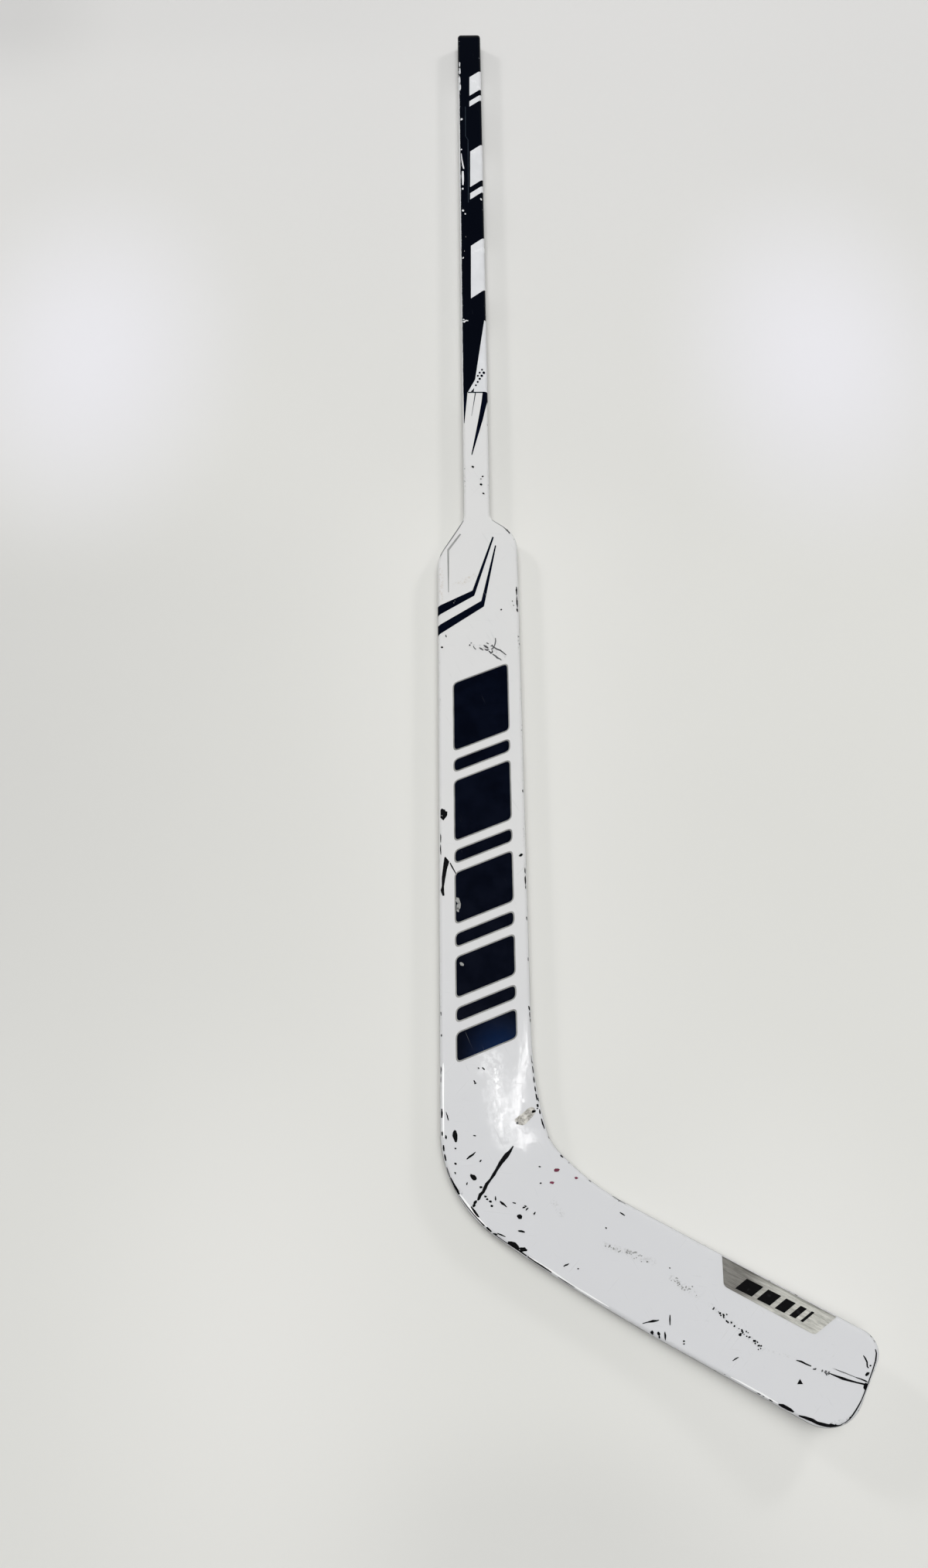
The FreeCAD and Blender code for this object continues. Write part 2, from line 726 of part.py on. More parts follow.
upper_side = box(
    "upper_side",
    f"{HEEL_FRAME} * placement(vector(-{REACH}; sizes.bridge_height; -sizes.overrun); rotation(0; 0; 0))",
    f"2 * {REACH}",
    REACH,
    f"{HIGH} + sizes.overrun",
)
blade_foam = cut("blade_foam", blade_room, rib_block, tongue)
core_upper = common("blade_core_upper", blade_foam, upper_side)
core_lower = cut("blade_core_lower", blade_foam, upper_side)

# Foil plate: a thin layer laid on the front of the blade and over its rounded upper edge

foil_base = size("blade_width") - size("foil_edge_gap")
foil_d = V(size("blade_length") - size("foil_toe_gap"), foil_base, 0)
foil_a = V(foil_d.x - size("foil_length"), foil_base, 0)
foil_b = V(foil_a.x + size("foil_slope"), foil_base - size("foil_height"), 0)
foil_c = V(foil_d.x - size("foil_slope"), foil_b.y, 0)
foil = Profile("foil_outline", foil_a)
foil_left, foil_left_bend = foil.corner(foil_b, foil_c, "foil_corner_radius")
foil_low, foil_right_bend = foil.corner(foil_c, foil_d, "foil_corner_radius")
foil_right = foil.line(foil_d)
foil_top = foil.line(foil_a, smooth=False)
foil.close()
mark_b = foil.point(foil_b)
mark_c = foil.point(foil_c)
foil.rule("Horizontal", foil_low)
foil.rule("Horizontal", foil_top)
for mark, line in ((mark_b, foil_left), (mark_b, foil_low), (mark_c, foil_low), (mark_c, foil_right)):
    foil.rule("PointOnObject", mark, 1, line)
foil.set("DistanceX", -1, 1, foil_right, 2, "sizes.blade_length - sizes.foil_toe_gap")
foil.set("DistanceY", -1, 1, foil_left, 1, "sizes.blade_width - sizes.foil_edge_gap")
foil.set("DistanceX", foil_left, 1, mark_b, 1, "sizes.foil_slope")
foil.set("DistanceY", mark_b, 1, foil_left, 1, "sizes.foil_height")
foil.set("DistanceX", foil_left, 1, foil_right, 2, "sizes.foil_length")
foil.set("DistanceX", mark_c, 1, foil_right, 2, "sizes.foil_slope")
foil.sketch.setExpression("Placement", HEEL_FRAME)
foil_prism = extrude("foil_prism", foil.sketch, HIGH, "0")


def lifted(name, height):
    """The moulded form with all its faces moved outward."""
    lifted_plan = inset(f"{name}_outline", plan.sketch, f"-({height})")
    lifted_side = inset(f"{name}_side_view", side.sketch, f"-({height})")
    lifted_prism = extrude(f"{name}_prism", lifted_plan, HIGH, "sizes.overrun")
    lifted_slab = extrude(f"{name}_slab", lifted_side, "sizes.overrun", REACH)
    block = common(f"{name}_block", lifted_prism, lifted_slab)
    return rounded(f"{name}_form", block, size("edge_radius") + float(block.evalExpression(height)))


foil_under = lifted("foil_under", "sizes.foil_glue")
foil_over = lifted("foil_over", "sizes.foil_glue + sizes.foil_thickness")
foil_layer = cut("foil_layer", foil_over, foil_under)
foil_front = common("foil_front", foil_prism, front_half)
toe_foil = common("toe_foil", foil_layer, foil_front)

# Each piece under its own name, checked and written

PIECES = {
    "butt_plug": plug,
    "shaft_tube": tube,
    "splice_tenon": tenon,
    "neck_core": neck_core,
    "paddle_front_skin": paddle_front,
    "paddle_back_skin": paddle_back,
    "paddle_core": paddle_core,
    "left_rail": left_rail,
    "right_rail": right_rail,
    "heel_tongue": tongue,
    "blade_front_skin": blade_front,
    "blade_back_skin": blade_back,
    "blade_core_upper": core_upper,
    "blade_core_lower": core_lower,
    "blade_bridge": bridge,
    "toe_foil": toe_foil,
}
doc.recompute()
for made in doc.Objects:
    if "Invalid" in made.State or "Error" in made.State:
        raise ValueError(f"{made.Name} did not build: {made.State}")
for node, piece in PIECES.items():
    piece.Label = node
    shape = piece.Shape
    if shape.isNull() or not shape.isValid() or len(shape.Solids) != 1:
        raise ValueError(f"{node} is not one sound solid")
    shape.exportStep(f"parts/{node}.step")
    print(node, round(shape.Volume), len(shape.Faces))
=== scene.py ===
# %% [markdown]
# # A goalie stick lying on its back
# A goalie stick is a slim hollow shaft, a broad flat paddle and a curved blade, moulded and painted
# as one stiff piece. The frame loaded here holds its solids, already in the right place and size,
# so nothing is fitted by eye: new pieces are laid on the solids and the solids get their finishes.

# %% Load the frame
import json
import math
import random

import bmesh
import bpy
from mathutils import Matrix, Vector

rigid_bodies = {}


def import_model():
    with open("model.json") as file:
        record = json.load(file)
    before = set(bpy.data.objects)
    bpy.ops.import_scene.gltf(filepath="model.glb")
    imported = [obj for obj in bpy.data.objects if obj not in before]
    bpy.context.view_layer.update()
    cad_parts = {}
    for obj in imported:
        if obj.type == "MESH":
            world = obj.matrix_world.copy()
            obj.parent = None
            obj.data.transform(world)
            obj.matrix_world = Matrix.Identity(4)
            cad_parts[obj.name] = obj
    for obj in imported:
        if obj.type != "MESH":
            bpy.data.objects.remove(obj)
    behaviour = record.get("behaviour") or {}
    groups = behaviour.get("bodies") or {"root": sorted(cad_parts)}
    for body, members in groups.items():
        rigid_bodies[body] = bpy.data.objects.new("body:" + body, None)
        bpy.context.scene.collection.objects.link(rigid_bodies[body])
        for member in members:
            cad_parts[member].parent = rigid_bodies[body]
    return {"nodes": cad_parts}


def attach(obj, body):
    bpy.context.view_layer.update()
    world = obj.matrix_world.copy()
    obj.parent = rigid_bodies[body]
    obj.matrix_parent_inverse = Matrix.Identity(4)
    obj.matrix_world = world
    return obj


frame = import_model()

MM = 0.001
scene = bpy.context.scene
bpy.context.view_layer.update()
nodes = frame["nodes"]

# %% [markdown]
# ## Camera
# The picture was taken from above the blade, tilted a little towards the shaft, so the shaft runs away
# and looks slimmer. The place and tilt come from the point where the long edges meet. The camera
# is added straight at that place; its sensor width counts along the long side of an upright picture.

# %% Camera
PHOTO = (1200, 2028)
EYE = Vector((-21.87, -695.42, 1150.5)) * MM
TILT = math.radians(18.84)
SWING = math.radians(-0.6314)
LENS, SENSOR = 27.035, 36.0
bpy.ops.object.select_all(action="DESELECT")
bpy.ops.object.camera_add(location=EYE, rotation=(TILT, 0, SWING))
camera = bpy.context.object
camera.data.lens = LENS
camera.data.sensor_width = SENSOR
scene.camera = camera
print("camera:", camera.data.lens, "mm at", tuple(camera.location))

# %% [markdown]
# ## From a pixel to the stick
# Marks are easiest to read off the picture in its pixels. A sight line through the pixel is followed
# down to the front of the stick: level at 20 mm on shaft and paddle, and rising on one arc along the
# blade. A few rounds settle the height, and the mark then lies on the stick from every side.

# %% Sight lines
VIEW = camera.rotation_euler.to_matrix()
PIXEL = SENSOR / LENS / PHOTO[1]
FRONT = 20 * MM
HEEL = Vector((-43.5, -723, 0)) * MM
LIE = math.radians(61.9)
ALONG = Vector((math.sin(LIE), -math.cos(LIE), 0))
SOLEWARD = Vector((-math.cos(LIE), -math.sin(LIE), 0))
BEND_START, BEND_RADIUS = 150 * MM, 1162.5 * MM
ROUNDS = 6


def front_height(place):
    run = (place - HEEL).dot(ALONG) - BEND_START
    if run < 0:
        return FRONT
    return FRONT + BEND_RADIUS - math.sqrt(BEND_RADIUS**2 - run**2)


def spot(px, py):
    """The place on the stick's front that a pixel of the picture shows."""
    across = (px - PHOTO[0] / 2) * PIXEL
    up = (PHOTO[1] / 2 - py) * PIXEL
    ray = VIEW @ Vector((across, up, -1))
    height = FRONT
    for _ in range(ROUNDS):
        place = EYE + ray * ((height - EYE.z) / ray.z)
        height = front_height(place)
    return place


def route(*pixels):
    return [spot(px, py) for px, py in pixels]


print("heel corner pixel lands at", tuple(round(v / MM, 1) for v in spot(566, 1480)))

# %% [markdown]
# ## Shader sums
# Finishes are built from nodes. Placing them by hand hides the idea, so a socket is wrapped in a small
# class that takes part in Python sums, and each sum adds its Math node. Other nodes come from one
# method that is told the kind of node, its settings and its inputs.


# %% A socket that takes part in Python sums
class Value:
    """A node's output. Sums on it add Math nodes to its tree."""

    def __init__(self, nodes, socket):
        self.nodes = nodes
        self.socket = socket

    def math(self, operation, *values):
        return self.nodes.node("Math", {"operation": operation}, values)

    def __add__(self, other):
        return self.math("ADD", self, other)

    def __sub__(self, other):
        return self.math("SUBTRACT", self, other)

    def __rsub__(self, other):
        return self.math("SUBTRACT", other, self)

    def __mul__(self, other):
        return self.math("MULTIPLY", self, other)

    def __abs__(self):
        return self.math("ABSOLUTE", self)

    __radd__ = __add__
    __rmul__ = __mul__


# %% A tree of nodes, and a finish
class Nodes:
    """A node tree that is written as expressions."""

    def __init__(self, tree):
        self.tree = tree

    def node(self, kind, settings, sockets, out=0):
        made = self.tree.nodes.new("ShaderNode" + kind)
        for name, value in settings.items():
            setattr(made, name, value)
        pairs = sockets.items() if isinstance(sockets, dict) else enumerate(sockets)
        for key, value in pairs:
            if isinstance(value, Value):
                self.tree.links.new(value.socket, made.inputs[key])
            else:
                made.inputs[key].default_value = value
        return Value(self, made.outputs[out])

    def mix(self, share, first, second):
        return self.node("Mix", {"data_type": "RGBA"}, {0: share, 6: first, 7: second}, 2)

    def step(self, value, low, high):
        """0 below low, 1 above high, and a soft step between; low may be the larger one."""
        ends = {"Value": value, "From Min": low, "From Max": high}
        return self.node("MapRange", {"interpolation_type": "SMOOTHSTEP"}, ends)

    def noise(self, place, scale, detail=2.0, rough=0.5):
        inputs = {"Vector": place, "Scale": scale, "Detail": detail, "Roughness": rough}
        return self.node("TexNoise", {}, inputs, "Fac")

    def vector(self, operation, first, second, out=0):
        return self.node("VectorMath", {"operation": operation}, [first, second], out)

    def toward(self, direction, aim):
        """How much a direction points the way of another, from -1 to 1."""
        return self.vector("DOT_PRODUCT", direction, aim, "Value")

    def axis(self, place, name):
        return self.node("SeparateXYZ", {}, [place], name)

    def turned(self, place, angle, scale):
        """Coordinates turned about the front's normal and then stretched."""
        inputs = {"Vector": place, "Rotation": (0, 0, angle), "Scale": scale}
        return self.node("Mapping", {"vector_type": "TEXTURE"}, inputs)


class Finish(Nodes):
    """A material with one Principled shader; constants sit on its own sockets."""

    def __init__(self, name, constants):
        self.material = bpy.data.materials.new(name)
        self.material.use_nodes = True
        super().__init__(self.material.node_tree)
        self.shader = self.tree.nodes["Principled BSDF"]
        for socket, value in constants.items():
            self.shader.inputs[socket].default_value = value
        self.place = self.node("TexCoord", {}, {}, "Object")

    def feed(self, socket, value):
        self.tree.links.new(value.socket, self.shader.inputs[socket])

    def normal(self):
        return self.node("NewGeometry", {}, {}, "Normal")

    def bump(self, height, strength, distance):
        inputs = {"Strength": strength, "Distance": distance, "Height": height}
        self.feed("Normal", self.node("Bump", {}, inputs))

    def done(self, colour, rough, height, strength, distance):
        """Feeds the shader its colour, roughness and relief, and hands over the material."""
        self.feed("Base Color", colour)
        self.feed("Roughness", rough)
        self.bump(height, strength, distance)
        return self.material


print("shader helpers ready")

# %% [markdown]
# ## Table
# The stick lies on a pale, matt table top. One large plane is enough, a hair below the stick so that
# the two never share a face. Its colour carries painted light and shade round the stick: painted shade
# greys it towards the far end and the left, where less daylight falls, and in a soft painted shadow at
# the near end; painted light makes it lighter at the near end, beside the paddle and in four soft
# painted pools of light. Far off it is painted darker, so that the lamps leave no glaring patches on it.

# %% Table top
TABLE_SIZE, TABLE_DROP = 16.0, 0.3 * MM
bpy.ops.object.select_all(action="DESELECT")
bpy.ops.mesh.primitive_plane_add(size=TABLE_SIZE, location=(0, 0, -TABLE_DROP))
table = bpy.context.object
table.name = "table"
print("table:", TABLE_SIZE, "m")

# %% Tone of the table, with painted light and shade
TABLE_MIDDLE = (0, -0.12, 0)
TABLE_TONE, TABLE_LIGHT = (0.612, 0.607, 0.584, 1), (0.672, 0.667, 0.644, 1)
TABLE_FAR_SHADE, TABLE_BEYOND_SHADE = (0.577, 0.570, 0.574, 1), (0.36, 0.357, 0.35, 1)
TABLE_SHADE = (0.47, 0.466, 0.463, 1)
COOL_LIGHT, WARM_LIGHT = (0.69, 0.682, 0.714, 1), (0.685, 0.677, 0.657, 1)
POOL_STRETCH = 1.4
PAINTED_LIGHT_POOLS = [
    ((108, 445), 0.23, COOL_LIGHT),
    ((1065, 445), 0.23, COOL_LIGHT),
    ((330, 1740), 0.25, WARM_LIGHT),
    ((1045, 1740), 0.22, (0.69, 0.683, 0.663, 1)),
]
pale = Finish("pale_table", {"Roughness": 0.9, "Specular IOR Level": 0.0})
cloud = pale.noise(pale.place, 2.5, 3)
across, depth = pale.axis(pale.place, "X"), pale.axis(pale.place, "Y")
# Painted shade towards the far end, painted light towards the near end.
far, near = pale.step(depth, -0.25, 0.85), pale.step(depth, -0.3, -0.78)
# Painted shade on the left, at the far sides, in the far left corner and at the top, and a soft painted
# shadow at the near end.
left = pale.step(across, 0.0, -0.65) * pale.step(depth, 0.15, -0.1) * (1 - near * 0.6)
far_side_shade = far * pale.step(abs(across), 0.25, 0.7)
corner = pale.step(across, -0.44, -0.6) * pale.step(depth, 0.6, 0.78)
top_shade = pale.step(across, 0.1, -0.25) * pale.step(depth, 0.66, 0.78)
near_shadow = pale.step(abs(across - 0.08), 0.3, 0.1) * pale.step(depth, -0.86, -0.97)
away = pale.vector("DISTANCE", pale.place, TABLE_MIDDLE, "Value")
here, beyond = pale.step(away, 1.9, 1.15), pale.step(away, 1.5, 3.4)
tone = pale.mix(cloud * 0.5 + near * here * 0.4, TABLE_TONE, TABLE_LIGHT)
tone = pale.mix(far * 0.7, tone, TABLE_FAR_SHADE)
# Painted light: a lighter strip beside the paddle, against the soft shade the stick casts there.
flank = pale.step(abs(across), 0.24, 0.04) * pale.step(depth, 0.12, -0.05)
flank = flank * pale.step(depth, -0.72, -0.55)
tone = pale.mix(flank * 0.4, tone, WARM_LIGHT)
shade = (far_side_shade * 0.1 + corner * 0.4 + top_shade * 0.16 + left * 0.42 + near_shadow * 0.25) * here
tone = pale.mix(shade, tone, TABLE_SHADE)
# Four painted pools of light on the table's colour.
squat = pale.turned(pale.place, 0, (1, POOL_STRETCH, 1))
for pixel, reach, colour in PAINTED_LIGHT_POOLS:
    pool = spot(*pixel)
    middle = (pool.x, pool.y / POOL_STRETCH, 0)
    glow = pale.step(pale.vector("DISTANCE", squat, middle, "Value"), reach, 0.0)
    tone = pale.mix(glow, tone, colour)
# Far off the table is painted darker, a painted shade against the lamps' glaring patches.
pale.feed("Base Color", pale.mix(beyond * 0.6, tone, TABLE_BEYOND_SHADE))
pale.bump(pale.noise(pale.place, 260, 2), 0.05, 0.2 * MM)
table.data.materials.append(pale.material)
print("pools of light:", len(PAINTED_LIGHT_POOLS))

# %% [markdown]
# ## Lamps
# Two lamps past the end of the shaft, left and right of it, throw its faint double shadow. Slim tubes,
# hung high, leave the bright forked mark on the lower paddle. A lamp whose mirror image shows at a
# pixel is found by reflecting the sight line, so the ends of a tube are given by two such pixels.

# %% Lamps
SIDE_LAMPS = [("side_lamp_left", (-3.2, 2.7, 2.2)), ("side_lamp_right", (3.2, 2.7, 2.2))]
SIDE_SIZE, SIDE_POWER = 0.6, 46
LAMP_COLOUR = (1.0, 0.985, 0.98)
AIM = Vector((0, -0.15, 0))


def mirrored(px, py, height):
    """Where a lamp hangs whose mirror image in the level front shows at a pixel."""
    place = spot(px, py)
    ray = place - EYE
    return place + Vector((ray.x, ray.y, -ray.z)) * ((height - place.z) / -ray.z)


def add_lamp(name, place, turn, size, power):
    bpy.ops.object.light_add(type="AREA", location=place, rotation=turn)
    lamp = bpy.context.object
    lamp.name = name
    lamp.data.shape = "RECTANGLE"
    lamp.data.size, lamp.data.size_y = size
    lamp.data.energy = power
    lamp.data.color = LAMP_COLOUR
    return lamp


for name, place in SIDE_LAMPS:
    turn = (AIM - Vector(place)).to_track_quat("-Z", "Y").to_euler()
    lamp = add_lamp(name, place, turn, (SIDE_SIZE, SIDE_SIZE), SIDE_POWER)
    lamp.visible_glossy = False
print("side lamps:", len(SIDE_LAMPS))

# %% Tubes
TUBE_HEIGHT = 2.4
TUBES = [
    ((640, 1382), (645, 1425), 0.015, 14.0),
    ((645, 1425), (648, 1466), 0.014, 13.0),
    ((690, 1316), (672, 1398), 0.015, 13.0),
    ((672, 1392), (667, 1446), 0.020, 11.0),
    ((656, 1420), (673, 1480), 0.034, 8.0),
    ((670, 1482), (691, 1468), 0.026, 9.0),
]
for count, (near_end, far_end, width, glow) in enumerate(TUBES):
    first, last = mirrored(*near_end, TUBE_HEIGHT), mirrored(*far_end, TUBE_HEIGHT)
    run = last - first
    turn = (0, 0, math.atan2(run.y, run.x))
    power = glow * math.pi * width * run.length
    add_lamp(f"tube_{count}", (first + last) / 2, turn, (run.length, width), power)
print("tubes:", len(TUBES))

# %% [markdown]
# ## Ceiling and walls
# Most light comes down from a white ceiling, a little from the far end, which keeps the shadows beside
# a thin object narrow and lays them below the sole. That is a world whose strength grows towards one
# direction. What the gloss mirrors, and what the camera sees of the room, is an even wall.

# %% World
WALL_LIGHT, CEILING_LIGHT = 0.16, 8.45
CEILING_SIDE, CEILING_RIM = (0, 0.1, 0.995), 0.9
ROOM_COLOUR = (0.99, 1.0, 0.99, 1)
WALL_GLOSS, SEEN_WALL = 0.3, 0.85
world = bpy.data.worlds.new("white_room")
world.use_nodes = True
scene.world = world
room = Nodes(world.node_tree)
sky = world.node_tree.nodes["Background"]
outlook = room.node("TexCoord", {}, {}, "Generated")
lit = WALL_LIGHT + room.step(room.toward(outlook, CEILING_SIDE), CEILING_RIM, 1.0) * CEILING_LIGHT
seen = room.node("LightPath", {}, {}, "Is Camera Ray")
shiny = room.node("LightPath", {}, {}, "Is Glossy Ray")
strength = lit * (1 - seen) * (1 - shiny) + shiny * WALL_GLOSS + seen * SEEN_WALL
world.node_tree.links.new(strength.socket, sky.inputs["Strength"])
sky.inputs["Color"].default_value = ROOM_COLOUR
scene.view_settings.view_transform = "Standard"
print("world:", world.name)

# %% [markdown]
# ## White paint
# Paddle and blade are sprayed white and clear-coated. Years of pucks leave fine scratches, grey rubs,
# black specks and worn rims. A picture could be painted for this, but noise keeps its scale on every
# side: the rim is where the surface has turned from the front, and wear is strongest there. The steep
# walls are darkened with painted shade, and dark scuffs on the low walls are partly painted shade.

# %% Layers of the white paint
WHITE_WARM, WHITE_COOL = (0.615, 0.611, 0.611, 1), (0.584, 0.585, 0.603, 1)
HAZE_GREY = (0.58, 0.585, 0.595, 1)
HAIRLINES = ((0.5, 620, 0.69), (-0.75, 540, 0.70), (1.45, 700, 0.705))
SPECKS_PER_METRE = 95.0


def body_colour(paint):
    """White that cools and greys a little from the paddle's middle to the blade, with a faint haze."""
    cool = paint.step(paint.axis(paint.place, "Y"), -0.3, -0.72)
    white = paint.mix(cool, WHITE_WARM, WHITE_COOL)
    haze = paint.step(paint.noise(paint.place, 14, 4, 0.6), 0.45, 0.75)
    return paint.mix(haze * 0.3, white, HAZE_GREY), haze


def scratch_mask(paint):
    """Hairlines in three directions, gathered in patches."""
    total = 0
    for angle, scale, low in HAIRLINES:
        thread = paint.turned(paint.place, angle, (1, 26, 1))
        streak = paint.step(paint.noise(thread, scale, 1), low, low + 0.07)
        patch = paint.step(paint.noise(paint.place, 21 + 4 * angle, 2), 0.52, 0.62)
        total = total + streak * patch
    return total


def rim_wear(paint, wear):
    """Dust and chips on the rounded rims, painted shade on the steep walls, and dark scuffs on the
    heel's, sole's and toe's wall that are partly painted shade.
    """
    normal = paint.normal()
    facing = abs(paint.axis(normal, "Z"))
    outward = paint.toward(normal, SOLEWARD)
    worn = outward.math("MAXIMUM", outward, paint.toward(normal, ALONG))
    worn = paint.step(worn, 0.15, 0.6) * paint.step(paint.axis(paint.place, "Y"), -0.60, -0.70)
    rim = paint.step(facing, 0.97, 0.80)
    fray = paint.noise(paint.place, 260, 3, 0.65) * 0.55 + paint.noise(paint.place, 38, 2) * 0.45
    fray = fray + worn * 0.035 + (wear - 0.5) * 0.1
    # Painted shade: the steep walls darken as they turn away from the front.
    shaded_wall = paint.step(facing, 0.55, 0.25)
    # Dark scuffs on the low walls, partly wear and partly painted shade.
    scuff_and_shade = shaded_wall * worn * paint.step(paint.noise(paint.place, 30, 4, 0.7), 0.40, 0.52)
    return rim * paint.step(fray, 0.50, 0.66), shaded_wall, rim * paint.step(fray, 0.640, 0.655), scuff_and_shade


def speck_mask(paint):
    """A few small round specks, one to a cell of a Voronoi pattern and only in some cells."""
    cells = {"Vector": paint.place, "Scale": SPECKS_PER_METRE}
    away = paint.node("TexVoronoi", {}, cells, "Distance")
    pick = paint.node("SeparateColor", {}, [paint.node("TexVoronoi", {}, cells, "Color")])
    return paint.step(pick, 0.955, 0.96) * paint.step(away, 0.085, 0.05)


print("layers of the white paint ready")

# %% [markdown]
# ## Rubs
# A puck that slides along the blade leaves a grey, broken band. Its middle line is known from the
# picture, so the band is the distance from that line, broken up by a fine grain. The same distance
# tells where the lacquer is scoured and mirrors a lamp only in specks.


# %% Rubs along a line
def line_distance(paint, start, end):
    """How far a point of the surface is from a straight mark, in metres."""
    run = end - start
    offset = paint.vector("SUBTRACT", paint.place, start)
    share = paint.vector("DOT_PRODUCT", offset, run / run.length_squared, "Value")
    share = paint.node("Clamp", {}, [share])
    foot = paint.node("VectorMath", {"operation": "SCALE"}, {0: run, "Scale": share})
    return paint.vector("DISTANCE", offset, foot, "Value")


def rubbed(paint, body, points, wide, colour):
    """Lays a broken band of colour along a row of points."""
    grain = paint.step(paint.noise(paint.place, 420, 3, 0.7), 0.50, 0.62)
    for start, end in zip(points, points[1:]):
        near = paint.step(line_distance(paint, start, end), wide, wide * 0.2)
        body = paint.mix(near * grain * 0.75, body, colour)
    return body


GREY, SOOT, TAN = (0.46, 0.46, 0.47, 1), (0.26, 0.26, 0.27, 1), (0.52, 0.48, 0.44, 1)
SLIDE_START = [(782, 1610), (812, 1620), (845, 1632)]
SLIDE_MIDDLE = [(867, 1652), (884, 1664), (902, 1675)]
SLIDE_END = [(919, 1688), (946, 1710), (972, 1733), (985, 1743)]
BLADE_RUBS = [
    (route(*SLIDE_START), 4.0 * MM, GREY),
    (route(*SLIDE_MIDDLE), 4.0 * MM, GREY),
    (route(*SLIDE_END), 3.2 * MM, GREY),
    (route((985, 1743), (1030, 1758)), 1.6 * MM, GREY),
    (route((1074, 1844), (1096, 1838)), 3.5 * MM, SOOT),
    (route((716, 1555), (726, 1570)), 4.0 * MM, GREY),
]
PADDLE_RUBS = [
    (route((608, 834), (632, 838), (652, 850)), 4.0 * MM, GREY),
    (route((570, 735), (570, 775)), 4.0 * MM, TAN),
    (route((590, 757), (612, 745)), 5.0 * MM, TAN),
    (route((590, 1537), (596, 1543)), 3.0 * MM, SOOT),
    (route((656, 684), (659, 689)), 2.0 * MM, GREY),
]
SCOURED, SCOURED_REACH = route((634, 1370), (652, 1470)), (16 * MM, 6 * MM)
print("rubs:", len(BLADE_RUBS), "on the blade,", len(PADDLE_RUBS), "on the paddle")

# %% White paint on the skins
SCRATCH_GREY, DUST_GREY = (0.30, 0.30, 0.31, 1), (0.42, 0.42, 0.41, 1)
# The dark grey for the steep walls is painted shade; the scuff black is partly painted shade.
WALL_SHADE_GREY, CHIP_BLACK = (0.10, 0.10, 0.10, 1), (0.012, 0.013, 0.016, 1)
SCUFF_AND_SHADE_BLACK, SPECK_BLACK = (0.03, 0.03, 0.032, 1), (0.05, 0.05, 0.055, 1)


def white_paint(name, rubs=(), wear=0.5, scoured=None):
    paint = Finish(name, {"Specular IOR Level": 0.5})
    body, haze = body_colour(paint)
    scratch = scratch_mask(paint)
    dust, shaded_wall, chips, scuff_and_shade = rim_wear(paint, wear)
    speck = speck_mask(paint)
    body = paint.mix(scratch * 0.28, body, SCRATCH_GREY)
    body = paint.mix(dust * 0.35, body, DUST_GREY)
    # Painted shade on the steep walls.
    body = paint.mix(shaded_wall * 0.45, body, WALL_SHADE_GREY)
    body = paint.mix(chips, body, CHIP_BLACK)
    # Dark scuffs on the low walls, partly painted shade.
    body = paint.mix(scuff_and_shade * 0.9, body, SCUFF_AND_SHADE_BLACK)
    body = paint.mix(speck * 0.85, body, SPECK_BLACK)
    for points, wide, colour in rubs:
        body = rubbed(paint, body, points, wide, colour)
    marks = paint.step(scratch + chips + scuff_and_shade + speck, 0.0, 1.0)
    brush = paint.noise(paint.turned(paint.place, 0.1, (1, 9, 1)), 480, 2, 0.6)
    rough = 0.03 + marks * 0.35 + paint.step(brush, 0.42, 0.62) * 0.03 + haze * 0.02
    if scoured:
        near = paint.step(line_distance(paint, *scoured), *SCOURED_REACH)
        rough = rough + near * paint.step(paint.noise(paint.place, 230, 3, 0.7), 0.5, 0.54) * 0.24
    relief = paint.noise(paint.place, 140, 0) * 0.45 + paint.noise(paint.place, 310, 0) * 0.34
    relief = relief - scratch * 0.5 - chips * 1.5
    return paint.done(body, rough, relief, 0.35, 0.06 * MM)


finishes = {
    "paddle_front_skin": white_paint("white_paint_paddle_front", PADDLE_RUBS, 0.5, SCOURED),
    "paddle_back_skin": white_paint("white_paint_paddle_back"),
    "blade_front_skin": white_paint("white_paint_blade_front", BLADE_RUBS, 0.6),
    "blade_back_skin": white_paint("white_paint_blade_back", wear=0.6),
}
print("white paint on", sorted(finishes))

# %% [markdown]
# ## Navy shaft
# The shaft is a navy so dark that it reads as black, with a white left flank that meets the navy on
# the rounded corner. Which colour a point gets follows from the way its surface faces, with a frayed
# border, so the line stays on the corner all along the shaft.

# %% Shaft
NAVY, NAVY_LIGHT = (0.0003, 0.0009, 0.0033, 1), (0.0006, 0.0015, 0.0046, 1)
FLANK_DARK, FLANK_WHITE = (0.56, 0.57, 0.585, 1), (0.68, 0.685, 0.695, 1)
SCRATCHED_NAVY, RUBBED_NAVY = (0.04, 0.045, 0.055, 1), (0.30, 0.31, 0.33, 1)
FLANK_TOP, FLANK_RAGGED = spot(594, 96).y, 90 * MM


